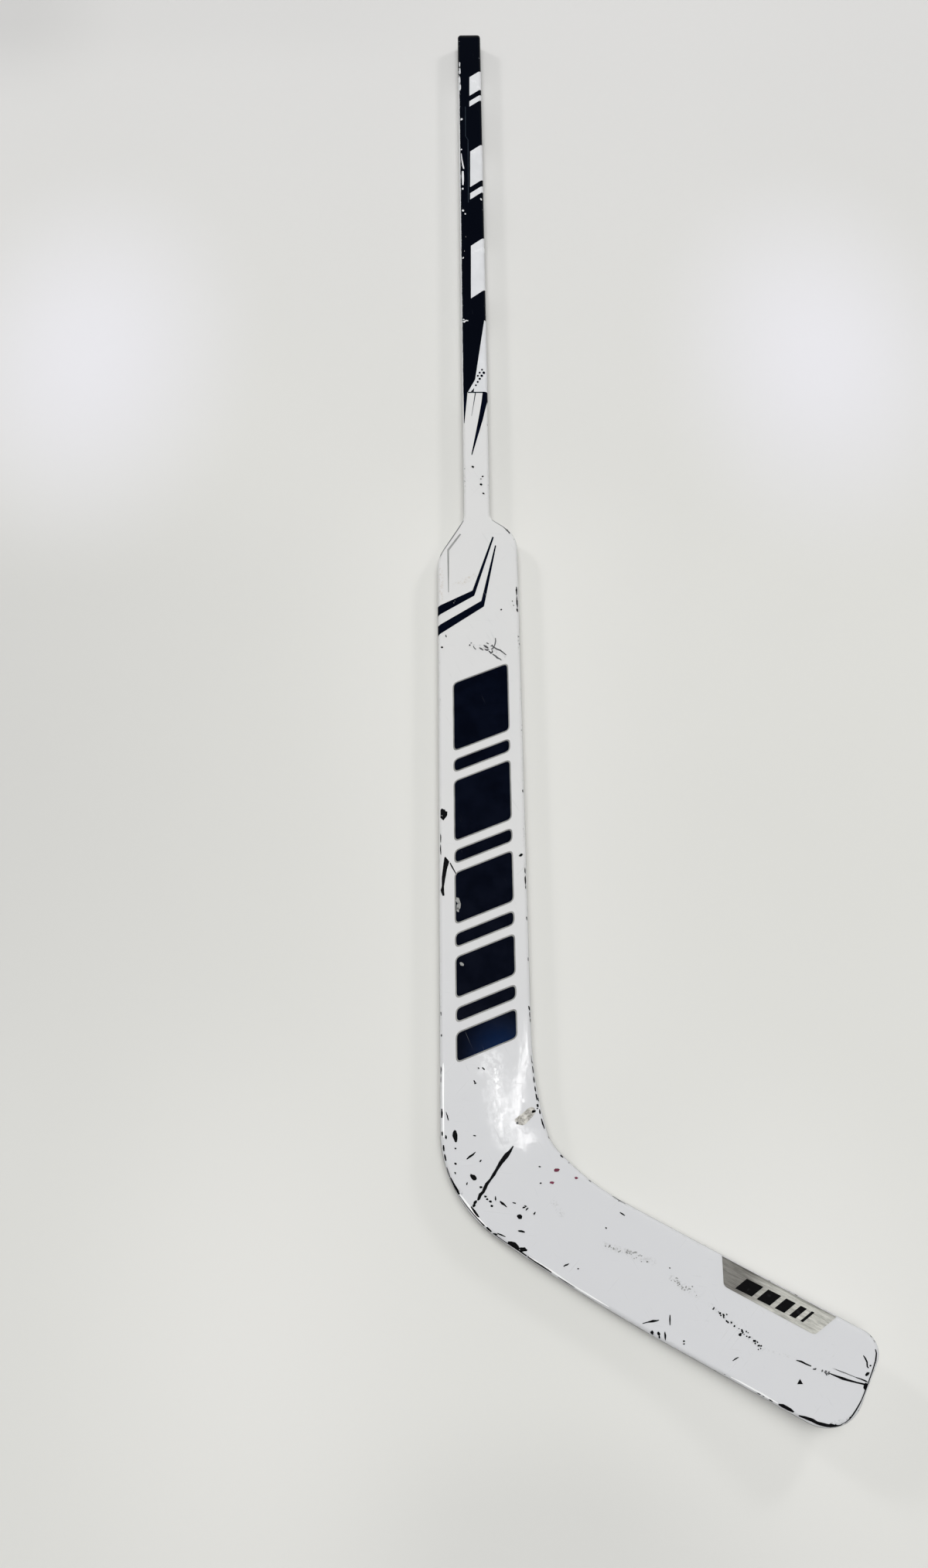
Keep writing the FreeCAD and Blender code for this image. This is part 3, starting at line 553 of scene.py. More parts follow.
def shaft_paint():
    paint = Finish("navy_paint_shaft", {"Specular IOR Level": 0.04})
    place = paint.place
    side = paint.axis(paint.normal(), "X")
    fray = paint.noise(place, 180, 4, 0.7) - 0.5
    flank = paint.step(-1 * side + fray * 0.35, 0.64, 0.72)
    ragged_top = paint.axis(place, "Y") + (paint.noise(place, 240, 3, 0.8) - 0.5) * FLANK_RAGGED
    flank = flank * paint.step(ragged_top, FLANK_TOP + 6 * MM, FLANK_TOP - 2 * MM)
    navy = paint.mix(paint.noise(place, 22, 3), NAVY, NAVY_LIGHT)
    thread = paint.turned(place, 0.12, (1, 30, 1))
    scratch = paint.step(paint.noise(thread, 700, 1), 0.72, 0.80)
    scratch = scratch * paint.step(paint.noise(place, 17, 2), 0.55, 0.66)
    navy = paint.mix(scratch * 0.4, navy, SCRATCHED_NAVY)
    corner = paint.step(abs(side), 0.25, 0.6)
    rubbed_off = corner * paint.step(paint.noise(place, 300, 3, 0.7), 0.66, 0.70)
    navy = paint.mix(rubbed_off, navy, RUBBED_NAVY)
    white = paint.mix(paint.noise(place, 60, 3), FLANK_DARK, FLANK_WHITE)
    rough = 0.22 + scratch * 0.3 + rubbed_off * 0.3
    relief = paint.noise(place, 800, 2) - scratch
    return paint.done(paint.mix(flank, navy, white), rough, relief, 0.2, 0.05 * MM)


finishes["shaft_tube"] = shaft_paint()
print("flank starts at", round(FLANK_TOP / MM), "mm")

# %% [markdown]
# ## End plug and foil
# The plug is satin moulded plastic with a fine grain and a few rubbed patches. The foil near the toe
# is brushed along the blade, so its streaks are a noise that is stretched along the blade's own
# direction; its colour runs from a brownish grey at the heel end to a lighter silver towards the toe.


# %% Plug and foil
def plug_plastic():
    paint = Finish("black_plastic_plug", {"Specular IOR Level": 0.15})
    grain = paint.noise(paint.place, 1500, 2)
    worn = paint.step(paint.noise(paint.place, 190, 4, 0.7), 0.60, 0.72)
    black = paint.mix(worn, (0.002, 0.002, 0.003, 1), (0.015, 0.015, 0.017, 1))
    return paint.done(black, 0.38 + grain * 0.2 + worn * 0.15, grain, 0.3, 0.08 * MM)


FOIL_DARK_END, FOIL_LIGHT_END = spot(955, 1650), spot(1010, 1680)


def brushed_foil():
    paint = Finish("brushed_foil", {"Metallic": 0.8})
    thread = paint.turned(paint.place, math.atan2(ALONG.y, ALONG.x), (60, 1, 1))
    fine, broad = paint.noise(thread, 1500, 3, 0.7), paint.noise(thread, 420, 2)
    tone = paint.step(fine * 0.5 + broad * 0.5, 0.32, 0.68)
    ends = paint.toward(paint.place, ALONG)
    run = paint.step(ends, FOIL_DARK_END.dot(ALONG), FOIL_LIGHT_END.dot(ALONG))
    drift = run * 0.85 + paint.noise(paint.place, 45, 2) * 0.3
    dark = paint.mix(drift, (0.085, 0.079, 0.072, 1), (0.33, 0.326, 0.30, 1))
    light = paint.mix(drift, (0.17, 0.161, 0.149, 1), (0.60, 0.592, 0.55, 1))
    silver = paint.mix(tone, dark, light)
    nick = paint.step(paint.noise(paint.place, 330, 4, 0.75), 0.68, 0.74)
    silver = paint.mix(nick * 0.6, silver, (0.12, 0.12, 0.115, 1))
    return paint.done(silver, 0.34 + fine * 0.22, fine - nick, 0.25, 0.05 * MM)


finishes["butt_plug"] = plug_plastic()
finishes["toe_foil"] = brushed_foil()
print("plug and foil finished")

# %% [markdown]
# ## What is inside
# Foam cores and carbon strips are hidden while the skins are on, but the part can be opened, so they
# have their own finishes: foam is a pale closed-cell block, carbon a black woven laminate.

# %% Foam and carbon
FOAM_CORES = ("paddle_core", "blade_core_upper", "blade_core_lower")
CELLS_PER_METRE, TOWS_PER_METRE = 900, 1400


def closed_cell_foam():
    paint = Finish("closed_cell_foam", {"Specular IOR Level": 0.2})
    cells = {"Vector": paint.place, "Scale": CELLS_PER_METRE}
    cell = paint.node("TexVoronoi", {}, cells, "Distance")
    cream = paint.mix(cell, (0.62, 0.58, 0.47, 1), (0.76, 0.73, 0.63, 1))
    return paint.done(cream, 0.8 + cell * 0.15, cell, 0.6, 0.3 * MM)


def woven_carbon():
    paint = Finish("woven_carbon", {"Coat Weight": 0.5, "Coat Roughness": 0.1})
    across, along = [paint.axis(paint.place, name) * TOWS_PER_METRE for name in "XY"]
    weave = paint.step(across.math("SINE", across) * along.math("SINE", along), -0.4, 0.4)
    black = paint.mix(weave, (0.008, 0.008, 0.009, 1), (0.03, 0.03, 0.033, 1))
    return paint.done(black, 0.3 + weave * 0.25, weave, 0.4, 0.15 * MM)


foam, carbon = closed_cell_foam(), woven_carbon()
for name, node in nodes.items():
    material = finishes.get(name, foam if name in FOAM_CORES else carbon)
    node.data.materials.clear()
    node.data.materials.append(material)
print("finishes on", len(nodes), "nodes")

# %% [markdown]
# ## Sheets to cut from
# Stripes and bars are thin printed films under the lacquer, so they bend over the rounded edges with
# the paint. They could be drawn in the material, but a film keeps crisp edges at any distance. It is
# cut from the skin itself, so first each skin is copied and only its outer face is kept, as a sheet.

# %% Outer sheets of the skins
SHARP = math.radians(40)
WELD = MM / 1000
LEVEL, UNDERSIDE = 0.9, -0.05


def alone(piece):
    """Leaves one object selected and active."""
    bpy.ops.object.select_all(action="DESELECT")
    piece.select_set(True)
    bpy.context.view_layer.objects.active = piece


def doubled(source, name):
    alone(source)
    bpy.ops.object.duplicate()
    bpy.context.object.name = name
    return bpy.context.object


def joined(parts):
    alone(parts[0])
    for part in parts:
        part.select_set(True)
    if len(parts) > 1:
        bpy.ops.object.join()
    return bpy.context.object


def outer_sheet(node):
    """The front and flanks of a node's outer face, as an open sheet."""
    sheet = doubled(nodes[node], "sheet_" + node)
    bpy.ops.object.parent_clear(type="CLEAR_KEEP_TRANSFORM")
    for key in [key for key in sheet.keys() if key.startswith("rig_")]:
        del sheet[key]
    bpy.ops.object.mode_set(mode="EDIT")
    bpy.ops.mesh.select_mode(type="FACE")
    bpy.ops.mesh.select_all(action="SELECT")
    bpy.ops.mesh.remove_doubles(threshold=WELD)
    bpy.ops.mesh.customdata_custom_splitnormals_clear()
    bpy.ops.mesh.select_all(action="DESELECT")
    mesh = bmesh.from_edit_mesh(sheet.data)
    level = [face for face in mesh.faces if face.normal.z > LEVEL]
    front = max(level, key=lambda face: face.calc_center_median().z * face.calc_area())
    front.select_set(True)
    bmesh.update_edit_mesh(sheet.data)
    bpy.ops.mesh.faces_select_linked_flat(sharpness=SHARP)
    mesh = bmesh.from_edit_mesh(sheet.data)
    for face in mesh.faces:
        face.select_set(not face.select or face.normal.z < UNDERSIDE)
    bmesh.update_edit_mesh(sheet.data)
    bpy.ops.mesh.delete(type="FACE")
    bpy.ops.object.mode_set(mode="OBJECT")
    print(sheet.name, "has", len(sheet.data.polygons), "faces")
    return sheet


shaft_sheet = outer_sheet("shaft_tube")
paddle_sheet = outer_sheet("paddle_front_skin")
blade_sheet = outer_sheet("blade_front_skin")
foil_sheet = outer_sheet("toe_foil")
front_sheet = joined([doubled(paddle_sheet, "sheet_front"), doubled(blade_sheet, "sheet_toe")])

# %% [markdown]
# ## Cutting a film
# A straight cut is what bisect does: it slices the sheet with a plane and throws one side away. An
# outline without hollow corners is one such cut for each side. The piece is then lifted a hair along
# its normals and made one layer thick, so that films can lie on films without fighting for a face.

# %% Films
LAYER, FILM_WELD = 0.05 * MM, 20 * WELD
ON_SKIN, ON_BORDER = 1, 2.2


def leftward(outline):
    """The outline in the order that keeps its inside on the left."""
    turns = zip(outline, outline[1:] + outline[:1])
    area = sum(a.x * b.y - b.x * a.y for a, b in turns)
    return outline if area > 0 else outline[::-1]


def trimmed(sheet, outline):
    """A copy of a sheet, cut back to an outline without hollow corners."""
    piece = doubled(sheet, "cut")
    outline = leftward(outline)
    bpy.ops.object.mode_set(mode="EDIT")
    for start, end in zip(outline, outline[1:] + outline[:1]):
        run = (end - start).normalized()
        away = (run.y, -run.x, 0)
        bpy.ops.mesh.select_all(action="SELECT")
        bpy.ops.mesh.bisect(plane_co=start, plane_no=away, clear_outer=True, threshold=WELD)
    bpy.ops.object.mode_set(mode="OBJECT")
    return piece


def thicken(piece, thickness):
    alone(piece)
    bpy.ops.object.modifier_add(type="SOLIDIFY")
    wall = piece.modifiers[-1]
    wall.thickness = thickness
    wall.offset = 1
    bpy.ops.object.modifier_apply(modifier=wall.name)


def finished(piece, name, material):
    """Gives a piece its name, finish and body."""
    piece.name = piece.data.name = name
    piece.data.materials.clear()
    piece.data.materials.append(material)
    alone(piece)
    bpy.ops.object.shade_smooth_by_angle(angle=SHARP)
    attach(piece, "root")
    print(name, "has", len(piece.data.polygons), "faces")


def film(name, sheet, outlines, layer, material):
    """Cuts outlines from a sheet, lifts them by a number of layers and makes them one layer thick."""
    piece = joined([trimmed(sheet, outline) for outline in outlines])
    bpy.ops.object.mode_set(mode="EDIT")
    bpy.ops.mesh.select_all(action="SELECT")
    bpy.ops.mesh.remove_doubles(threshold=FILM_WELD)
    bpy.ops.transform.shrink_fatten(value=layer * LAYER)
    bpy.ops.object.mode_set(mode="OBJECT")
    thicken(piece, LAYER)
    finished(piece, name, material)


print("a film is", round(LAYER / MM, 3), "mm thick")

# %% [markdown]
# ## Inks
# Each ink is one colour that drifts between a darker and a lighter tone, with hairline scratches that
# show a paler, rougher ground. One function serves all of them, so they age alike. Round one point of
# the last bar the navy lightens to a dull blue: a painted sheen, standing in for a reflection beside
# the bright mark on the paddle, drawn as a drift of its colour with the distance.

# %% Inks
SHEEN_REACH, PAINTED_SHEEN_BLUE = 46 * MM, (0.0006, 0.0105, 0.046, 1)


def ink(name, dark, light, rough, specular=0.15, blotch=45, sheen=None):
    paint = Finish(name, {"Specular IOR Level": specular})
    tone = paint.step(paint.noise(paint.place, blotch, 4, 0.6), 0.3, 0.7)
    thread = paint.turned(paint.place, 0.4, (1, 24, 1))
    scratch = paint.step(paint.noise(thread, 650, 1), 0.70, 0.78)
    scratch = scratch * paint.step(paint.noise(paint.place, 19, 2), 0.54, 0.64)
    colour = paint.mix(tone, (*dark, 1), (*light, 1))
    # Painted sheen: the navy turns blue near one point, standing in for a reflection.
    if sheen:
        near = paint.step(paint.vector("DISTANCE", paint.place, sheen, "Value"), SHEEN_REACH, 0)
        colour = paint.mix(near, colour, PAINTED_SHEEN_BLUE)
    ground = [0.6 * part + 0.25 for part in light]
    colour = paint.mix(scratch * 0.35, colour, (*ground, 1))
    relief = paint.noise(paint.place, 500, 2) * 0.1 - scratch
    return paint.done(colour, rough + scratch * 0.3 + tone * 0.08, relief, 0.3, 0.05 * MM)


# The navy ink carries a painted sheen beside the bright mark on the paddle.
navy_ink = ink("navy_ink", (0.0004, 0.0012, 0.0046), (0.0008, 0.0022, 0.0085), 0.10, 0.035,
               sheen=spot(650, 1364))
silver_ink = ink("silver_ink", (0.17, 0.17, 0.165), (0.27, 0.27, 0.26), 0.3)
white_ink = ink("white_ink", (0.585, 0.59, 0.61), (0.635, 0.64, 0.66), 0.2, 0.4)
dusk_ink = ink("dusk_ink", (0.010, 0.016, 0.024), (0.020, 0.030, 0.042), 0.3)
grey_ink = ink("grey_ink", (0.20, 0.205, 0.20), (0.28, 0.28, 0.275), 0.3)
print("inks ready")

# %% [markdown]
# ## Stripes at the top of the paddle
# Two navy stripes rise from the left edge, turn at a corner and run up to a point. A stripe with a
# corner has a hollow side, so it is cut as two pieces that share the line through the corner. A fine
# grey pinstripe follows the left shoulder.

# %% Stripes
STRIPES = [
    route((556, 789.0), (610.9, 763.8), (613.4, 770.4), (556, 802.0)),
    route((610.9, 763.8), (636.6, 694.0), (638.6, 695.0), (613.4, 770.4)),
    route((556, 815.5), (622.4, 777.1), (625.9, 784.4), (556, 828.2)),
    route((622.4, 777.1), (640.0, 705.2), (641.6, 705.8), (625.9, 784.4)),
]
film("paddle_stripes", paddle_sheet, STRIPES, ON_SKIN, navy_ink)
PINSTRIPE = [
    route((594.5, 690.2), (596.3, 691.3), (580.6, 712.2), (578.3, 710.8)),
    route((578.3, 710.8), (580.6, 712.2), (580.5, 766), (579.5, 766)),
]
film("paddle_pinstripe", paddle_sheet, PINSTRIPE, ON_SKIN, grey_ink)

# %% [markdown]
# ## Bars along the paddle
# The paddle carries a plain row of navy bars with a silver border. They slant, have soft corners, and
# get shorter towards the heel between even slim ones. A bar is worked out from its top and height, and
# its border is the same bar drawn a little larger and laid under it.

# %% Bars
BAR_LEFT, BAR_RIGHT, BAR_RISE = -27 * MM, 29 * MM, 22 * MM
BAR_TOP, BAR_GAP, BAR_CORNER = -177 * MM, 11 * MM, 4.5 * MM
BAR_BORDER = 1.3 * MM
BAR_HEIGHTS = [value * MM for value in (74, 12, 62, 12, 50, 12, 38, 12, 26)]
CORNER_SHARES = (0, 0.25, 0.5, 0.75, 1)


def softened(outline, reach):
    """The outline with each corner cut back by reach and rounded in a few straight steps."""
    soft = []
    for place, corner in enumerate(outline):
        before, after = outline[place - 1], outline[(place + 1) % len(outline)]
        start = corner + (before - corner).normalized() * reach
        end = corner + (after - corner).normalized() * reach
        for share in CORNER_SHARES:
            near, far = start.lerp(corner, share), corner.lerp(end, share)
            soft.append(near.lerp(far, share))
    return soft


def bar(top, height, border=0):
    """A slanted bar, rising to the right, with an even border round it."""
    slope = BAR_RISE / (BAR_RIGHT - BAR_LEFT)
    lift = border * math.hypot(1, slope)
    left, right = BAR_LEFT - border, BAR_RIGHT + border
    left_top, right_top = top - BAR_RISE - border * slope + lift, top + border * slope + lift
    drop = height + 2 * lift
    corners = [(left, left_top), (left, left_top - drop), (right, right_top - drop), (right, right_top)]
    return softened([Vector((x, y, FRONT)) for x, y in corners], BAR_CORNER + border)


bars, borders, top = [], [], BAR_TOP
for height in BAR_HEIGHTS:
    bars.append(bar(top, height))
    borders.append(bar(top, height, BAR_BORDER))
    top -= height + BAR_GAP
print("bars end at", round((top + BAR_GAP - BAR_RISE) / MM), "mm")
film("bar_borders", paddle_sheet, borders, ON_SKIN, silver_ink)
film("paddle_bars", paddle_sheet, bars, ON_BORDER, navy_ink)

# %% [markdown]
# ## Films on the shaft
# White panels break up the navy: slanted bars along the right half, which run over the edge, and a
# long split that widens towards the splice. A dark keyline runs down the left half. All are cut with
# the same straight cuts, from the shaft's own sheet.

# %% Shaft films
SHAFT_PANELS = [
    route((626.2, 414), (640, 414), (640, 491), (614.4, 491)),
    route((614.4, 491), (640, 491), (640, 507.2), (605, 507.2)),
    route((607, 100), (640, 80), (640, 104), (607, 124)),
    route((607, 131), (640, 111), (640, 118), (607, 138)),
    route((608, 196), (640, 176), (640, 222), (608, 242)),
    route((608, 250), (640, 230), (640, 238), (608, 258)),
    route((609, 318), (640, 298), (640, 366), (609, 386)),
]
film("shaft_white_panels", shaft_sheet, SHAFT_PANELS, ON_SKIN, white_ink)
KEYLINE = [
    route((601.3, 138), (602.2, 138), (602.4, 176), (601.5, 176)),
    route((601.5, 176), (602.4, 176), (605.6, 181), (604.7, 181)),
    route((604.7, 181), (605.6, 181), (606, 262), (605.2, 262)),
]
film("shaft_keyline", shaft_sheet, KEYLINE, ON_SKIN, dusk_ink)

# %% [markdown]
# ## Films on the neck
# Below the splice the navy breaks up into long wedges that end in points. The joint itself shows as
# a fine dark line across the white, where dirt has settled in the seam.

# %% Neck films
WEDGES = [
    route((599.3, 505), (604.9, 505), (603.2, 521), (599.6, 521)),
    route((599.6, 521), (603.2, 521), (600.6, 547), (599.9, 547)),
    route((624.4, 505), (640, 505), (629.6, 520), (622.6, 520)),
    route((622.6, 520), (629.8, 520), (624.2, 543.4), (618.4, 543.4)),
    route((618.4, 543.4), (624.2, 543.4), (610.6, 588.6), (609.5, 588.2)),
]
film("neck_wedges", paddle_sheet, WEDGES, ON_SKIN, navy_ink)
SEAM = [
    route((604.9, 505), (624.4, 505), (624.4, 508.2), (604.9, 508.2)),
    route((614.0, 508.2), (615.4, 508.2), (612.8, 523), (612.0, 523)),
    route((612.0, 523), (612.8, 523), (610.0, 538), (609.6, 538)),
]
film("neck_seam", paddle_sheet, SEAM, ON_SKIN, dusk_ink)

# %% [markdown]
# ## Chips, nicks and cracks
# Where a puck or a skate broke the paint, the black laminate shows: specks and dashes on the faces,
# nicks on the rims, and a crack where the blade joins. Each is an outline read off the picture, a
# ragged oval or a tapered stroke. The outline is filled, subdivided and wrapped on the skin with a
# Shrinkwrap modifier, so that a nick on a rim bends round it as the paint did.

# %% Outlines of chips
CHIP_CORNERS, CHIP_RAGGED, STROKE_RAGGED = 11, 0.22, 0.15
CHIP_SWELL, MARK_SPREAD = 1.1, 0.4
SEED = 7
rng = random.Random(SEED)


def chip(px, py, length, width, turn=0, corners=CHIP_CORNERS, ragged=CHIP_RAGGED):
    """A ragged oval in pixels; turn is in degrees, clockwise in the picture."""
    ahead = math.radians(turn)
    outline = []
    for corner in range(corners):
        angle = 2 * math.pi * corner / corners
        reach = CHIP_SWELL * (1 + rng.uniform(-ragged, ragged)) / 2
        u = reach * (length + MARK_SPREAD) * math.cos(angle)
        v = reach * (width + MARK_SPREAD) * math.sin(angle)
        outline.append((px + u * math.cos(ahead) - v * math.sin(ahead),
                        py + u * math.sin(ahead) + v * math.cos(ahead)))
    return outline


def stroke(*stations):
    """A crack through stations of pixel and width, as one outline."""
    one, other = [], []
    for place, (px, py, width) in enumerate(stations):
        before, after = stations[max(place - 1, 0)], stations[min(place + 1, len(stations) - 1)]
        run = Vector((after[0] - before[0], after[1] - before[1])).normalized()
        for side, line in ((1, one), (-1, other)):
            half = side * (width + MARK_SPREAD) / 2 * (1 + rng.uniform(-STROKE_RAGGED, STROKE_RAGGED))
            line.append((px - run.y * half, py + run.x * half))
    return one + other[::-1]


def scattered(points, count, spread, sizes):
    """Small chips strewn along a row of pixels."""
    outlines = []
    for _ in range(count):
        place = rng.randrange(len(points) - 1)
        start, end = Vector(points[place]), Vector(points[place + 1])
        middle = start.lerp(end, rng.random())
        size = rng.uniform(*sizes)
        outlines.append(chip(middle.x + rng.gauss(0, spread), middle.y + rng.gauss(0, spread),
                             size * rng.uniform(1, 1.7), size, rng.uniform(0, 180)))
    return outlines


def drawn(chips=(), strokes=()):
    """The outlines of a list of chips, and after them those of a list of strokes."""
    return [chip(*row) for row in chips] + [stroke(*row) for row in strokes]


print("chips swell by", CHIP_SWELL)

# %% [markdown]
# ## Laying flakes on a skin
# A circle primitive with as many corners as the outline is a quick way to get a filled face. Its
# corners are moved on to the outline, the face is cut into small triangles so that it can bend, and
# the wrap and a thin wall finish it.

# %% Flakes
FLAKE_LIFT, HIGHLIGHT_LIFT = 3.6 * LAYER, 1.5 * LAYER
LAMINATE_BLACK, LAMINATE_DUST = (0.002, 0.002, 0.0026, 1), (0.03, 0.031, 0.034, 1)


def flakes(name, outlines, sheet, material, lift=FLAKE_LIFT):
    """Fills outlines, wraps them on a sheet and makes them one layer thick."""
    bpy.ops.object.select_all(action="DESELECT")
    bpy.ops.mesh.primitive_circle_add(vertices=3, radius=MM)
    piece = bpy.context.object
    bpy.ops.object.mode_set(mode="EDIT")
    bpy.ops.mesh.select_mode(type="VERT")
    bpy.ops.mesh.select_all(action="SELECT")
    bpy.ops.mesh.delete(type="VERT")
    for outline in outlines:
        places = leftward([spot(px, py) for px, py in outline])
        bpy.ops.mesh.select_all(action="DESELECT")
        bpy.ops.mesh.primitive_circle_add(vertices=len(places), radius=MM, fill_type="NGON")
        mesh = bmesh.from_edit_mesh(piece.data)
        corners = [vertex for vertex in mesh.verts if vertex.select]
        for vertex, place in zip(corners, places):
            vertex.co = place + Vector((0, 0, LAYER))
        bmesh.update_edit_mesh(piece.data)
    bpy.ops.mesh.select_all(action="SELECT")
    bpy.ops.mesh.quads_convert_to_tris(ngon_method="BEAUTY")
    bpy.ops.mesh.subdivide(number_cuts=1)
    bpy.ops.object.mode_set(mode="OBJECT")
    bpy.ops.object.modifier_add(type="SHRINKWRAP")
    wrap = piece.modifiers[-1]
    wrap.target = sheet
    wrap.wrap_method = "NEAREST_SURFACEPOINT"
    wrap.wrap_mode = "ABOVE_SURFACE"
    wrap.offset = lift
    bpy.ops.object.modifier_apply(modifier=wrap.name)
    thicken(piece, LAYER)
    finished(piece, name, material)


def bare_laminate():
    paint = Finish("bare_laminate", {"Specular IOR Level": 0.05})
    grain = paint.noise(paint.place, 700, 3, 0.7)
    dusty = paint.step(paint.noise(paint.place, 160, 3), 0.60, 0.78)
    black = paint.mix(dusty * 0.4, LAMINATE_BLACK, LAMINATE_DUST)
    return paint.done(black, 0.45 + grain * 0.3, grain, 0.4, 0.1 * MM)


laminate = bare_laminate()
soot_ink = ink("soot_ink", (0.045, 0.045, 0.048), (0.11, 0.11, 0.115), 0.35)
# A near-white ink for painted highlight lines on the rims.
painted_highlight_ink = ink("painted_highlight_ink", (0.86, 0.86, 0.865), (0.94, 0.94, 0.945), 0.2, 0.5)
print("flake finishes ready")

# %% [markdown]
# ## Chips on the paddle
# Short marks are ovals, each given by its pixel, length, width and turn. Long ones are strokes, given by
# stations with a width at each. Marks on a rim are drawn wider, since the rim turns away from the eye.

# %% Chips on the paddle
PADDLE_CHIPS = [
    (572.9, 1053.3, 15.2, 7.4, 86), (575.2, 1053, 7, 6.6, 20), (569.4, 1084, 10, 1.5, 90),
    (569.3, 1099, 13, 1.6, 89), (673.6, 1105.9, 5.2, 2.6, -30), (571.6, 837.3, 2.4, 1.8, 20),
    (668.2, 764, 9, 2, 86), (668.8, 778, 14, 2.2, 87), (669.4, 789, 4, 2.4, 85),
    (679.6, 1126, 7, 2, 88), (680, 1138, 10, 2.4, 88), (680.6, 1147, 5, 2, 88),
    (682, 1187.5, 5, 2, 88), (684.4, 1240, 4, 2, 88), (676.6, 1023, 3, 2, 88),
    (685.2, 1304, 5, 2.8, 60), (686.4, 1312, 7, 2.4, 84), (688.1, 1319, 4, 2.4, 80),
    (689.2, 1370, 9, 2, 84), (690.1, 1383, 8, 2.2, 83), (691.2, 1396, 8, 2.1, 82),
    (692.6, 1408, 7, 2, 80), (694.2, 1419, 8, 2.1, 78), (695.2, 1430, 4, 2.6, 80),
    (694.8, 1433.7, 1.4, 1.4), (569.4, 1311, 4.4, 1.6, 88), (570.4, 1339, 3, 2.2, 88),
    (568.9, 1384, 9, 1.4, 90), (568.9, 1396, 7, 1.3, 90), (578.4, 1444, 11, 1.1, 75),
    (588.5, 1470, 16.5, 5.2, 80), (576.6, 1470.5, 4.6, 1.8, 84), (589, 1485.4, 2, 1.8),
    (589, 1505.3, 3.4, 2.3, 30), (588.6, 1517.3, 3, 1.5, 70), (612.2, 1522.8, 8.6, 5, 42),
    (603.8, 1530.8, 3.2, 1.5, 110), (621.4, 1501.6, 3.2, 1.4, -45), (613.6, 1399, 4, 1.5, 60),
    (614.6, 1401.4, 3, 1.2, -20), (625, 1382, 3.8, 1.4, 45), (618.8, 1381.6, 1.8, 1.2, 30),
    (613.6, 1468.8, 3.2, 1.2, 10), (622, 1535.5, 3.4, 2.4, 10), (624.2, 616.4, 2, 1.6),
    (621.9, 619.6, 1.4, 1), (621.9, 626.6, 2.8, 2.2, 20), (625.2, 638.4, 2.6, 1.4, 40),
    (611.5, 604, 2.8, 2, 30), (656.4, 685, 3, 1.6, 30), (658.4, 688.4, 3.4, 1.5, 60),
    (607.5, 834.5, 1.6, 1.6), (662.5, 777.5, 0.9, 0.9), (664, 783, 1.6, 0.6, 60),
    (648, 788.6, 1.8, 1.6), (576.8, 822.6, 3.4, 1, 70),
]
PADDLE_STROKES = [
    [(575.4, 1108.6, 1.2), (577.6, 1114.2, 6.6), (575.2, 1124, 5.2), (573.6, 1136, 4.4),
     (572.6, 1146, 3), (572, 1151, 4.8), (573.6, 1158.6, 2)],
    [(582, 1116, 0.8), (584.5, 1121, 1.6), (589.5, 1130, 0.8)],
    [(603.4, 1499.4, 0.9), (607.6, 1495.6, 2.4), (611.5, 1493.6, 2.1), (615, 1489.8, 0.3)],
    [(697.5, 1419.5, 1), (698, 1422, 1.4), (698.5, 1424, 0.8)],
]
flakes("paddle_chips", drawn(PADDLE_CHIPS, PADDLE_STROKES), paddle_sheet, laminate)

# %% [markdown]
# ## Cracked heel
# The blade has worked loose at the heel, and the joint shows as a ragged black crack that tapers towards
# the upper edge. The rim below it is worn through in a row of nicks, and a dark line along the heel's
# and sole's edge is partly worn edge and partly painted contact shadow. They cross the joint, so they
# are wrapped on paddle and blade together.

# %% Cracked heel
HEEL_STROKES = [
    [(663.7, 1482.2, 1), (659.6, 1489, 3.5), (654.8, 1494, 5.8), (647.6, 1504, 4.8),
     (641.5, 1513.8, 3.6), (638.9, 1518.7, 3.9), (634.3, 1525.3, 2.5), (629.3, 1531.9, 3.9),
     (626.9, 1536.8, 4.6), (624.6, 1541.7, 3.4), (620.9, 1545, 4.1), (619, 1550.8, 3.2),
     (617.4, 1552.6, 1)],
    [(609, 1560.6, 1.2), (613.6, 1566.8, 3), (617, 1571.4, 2.4), (619.6, 1574.4, 0.8)],
    [(570.5, 1434, 2.2), (570.6, 1440, 3.8), (570.7, 1446, 2.2)],
    [(571.2, 1463.5, 1.6), (571.4, 1466, 3), (571.5, 1469, 1.6)],
    [(573, 1481, 1.6), (573.3, 1485, 2.8), (573.6, 1489, 1.6)],
    [(574.3, 1493, 2), (575, 1497, 3.2), (576, 1501, 2)],
    [(576.4, 1510, 1.6), (578.4, 1517, 2.6), (580.4, 1523, 2.2)],
    [(581.3, 1523.4, 2.4), (584.9, 1531.4, 4.2), (589.9, 1539.4, 5.2), (593, 1545.4, 3.4)],
    # Along the heel's and sole's edge: partly worn edge, partly painted contact shadow.
    [(593, 1547, 1), (601, 1558, 1.1), (613, 1572, 1.2), (622.8, 1582.8, 1.8), (625.8, 1586.4, 2.6)],
    [(628.8, 1587.6, 2.6), (631.8, 1590.9, 4.4), (634.8, 1594, 2.8)],
    [(636.8, 1596, 2.2), (650.8, 1606, 1.2), (670.8, 1618, 2.4), (680.8, 1625, 2.4)],
    [(681.8, 1625.8, 2.4), (690.8, 1632.4, 3), (700.8, 1638.8, 3), (712.8, 1646.6, 2)],
]
HEEL_CHIPS = [(614.7, 1555, 4.6, 3.4, -50), (612.9, 1559, 4.2, 3.2, -40), (576, 1500.8, 2.4, 1.2)]
flakes("heel_crack_and_edge_shadow", drawn(HEEL_CHIPS, HEEL_STROKES), front_sheet, laminate)

# %% [markdown]
# ## Painted highlight lines
# Along the left rim, the heel and parts of the sole a fine light line is painted where the rounded
# rim catches a highlight. It is one more set of strokes, laid lower than the chips, so that a chip can
# interrupt it.

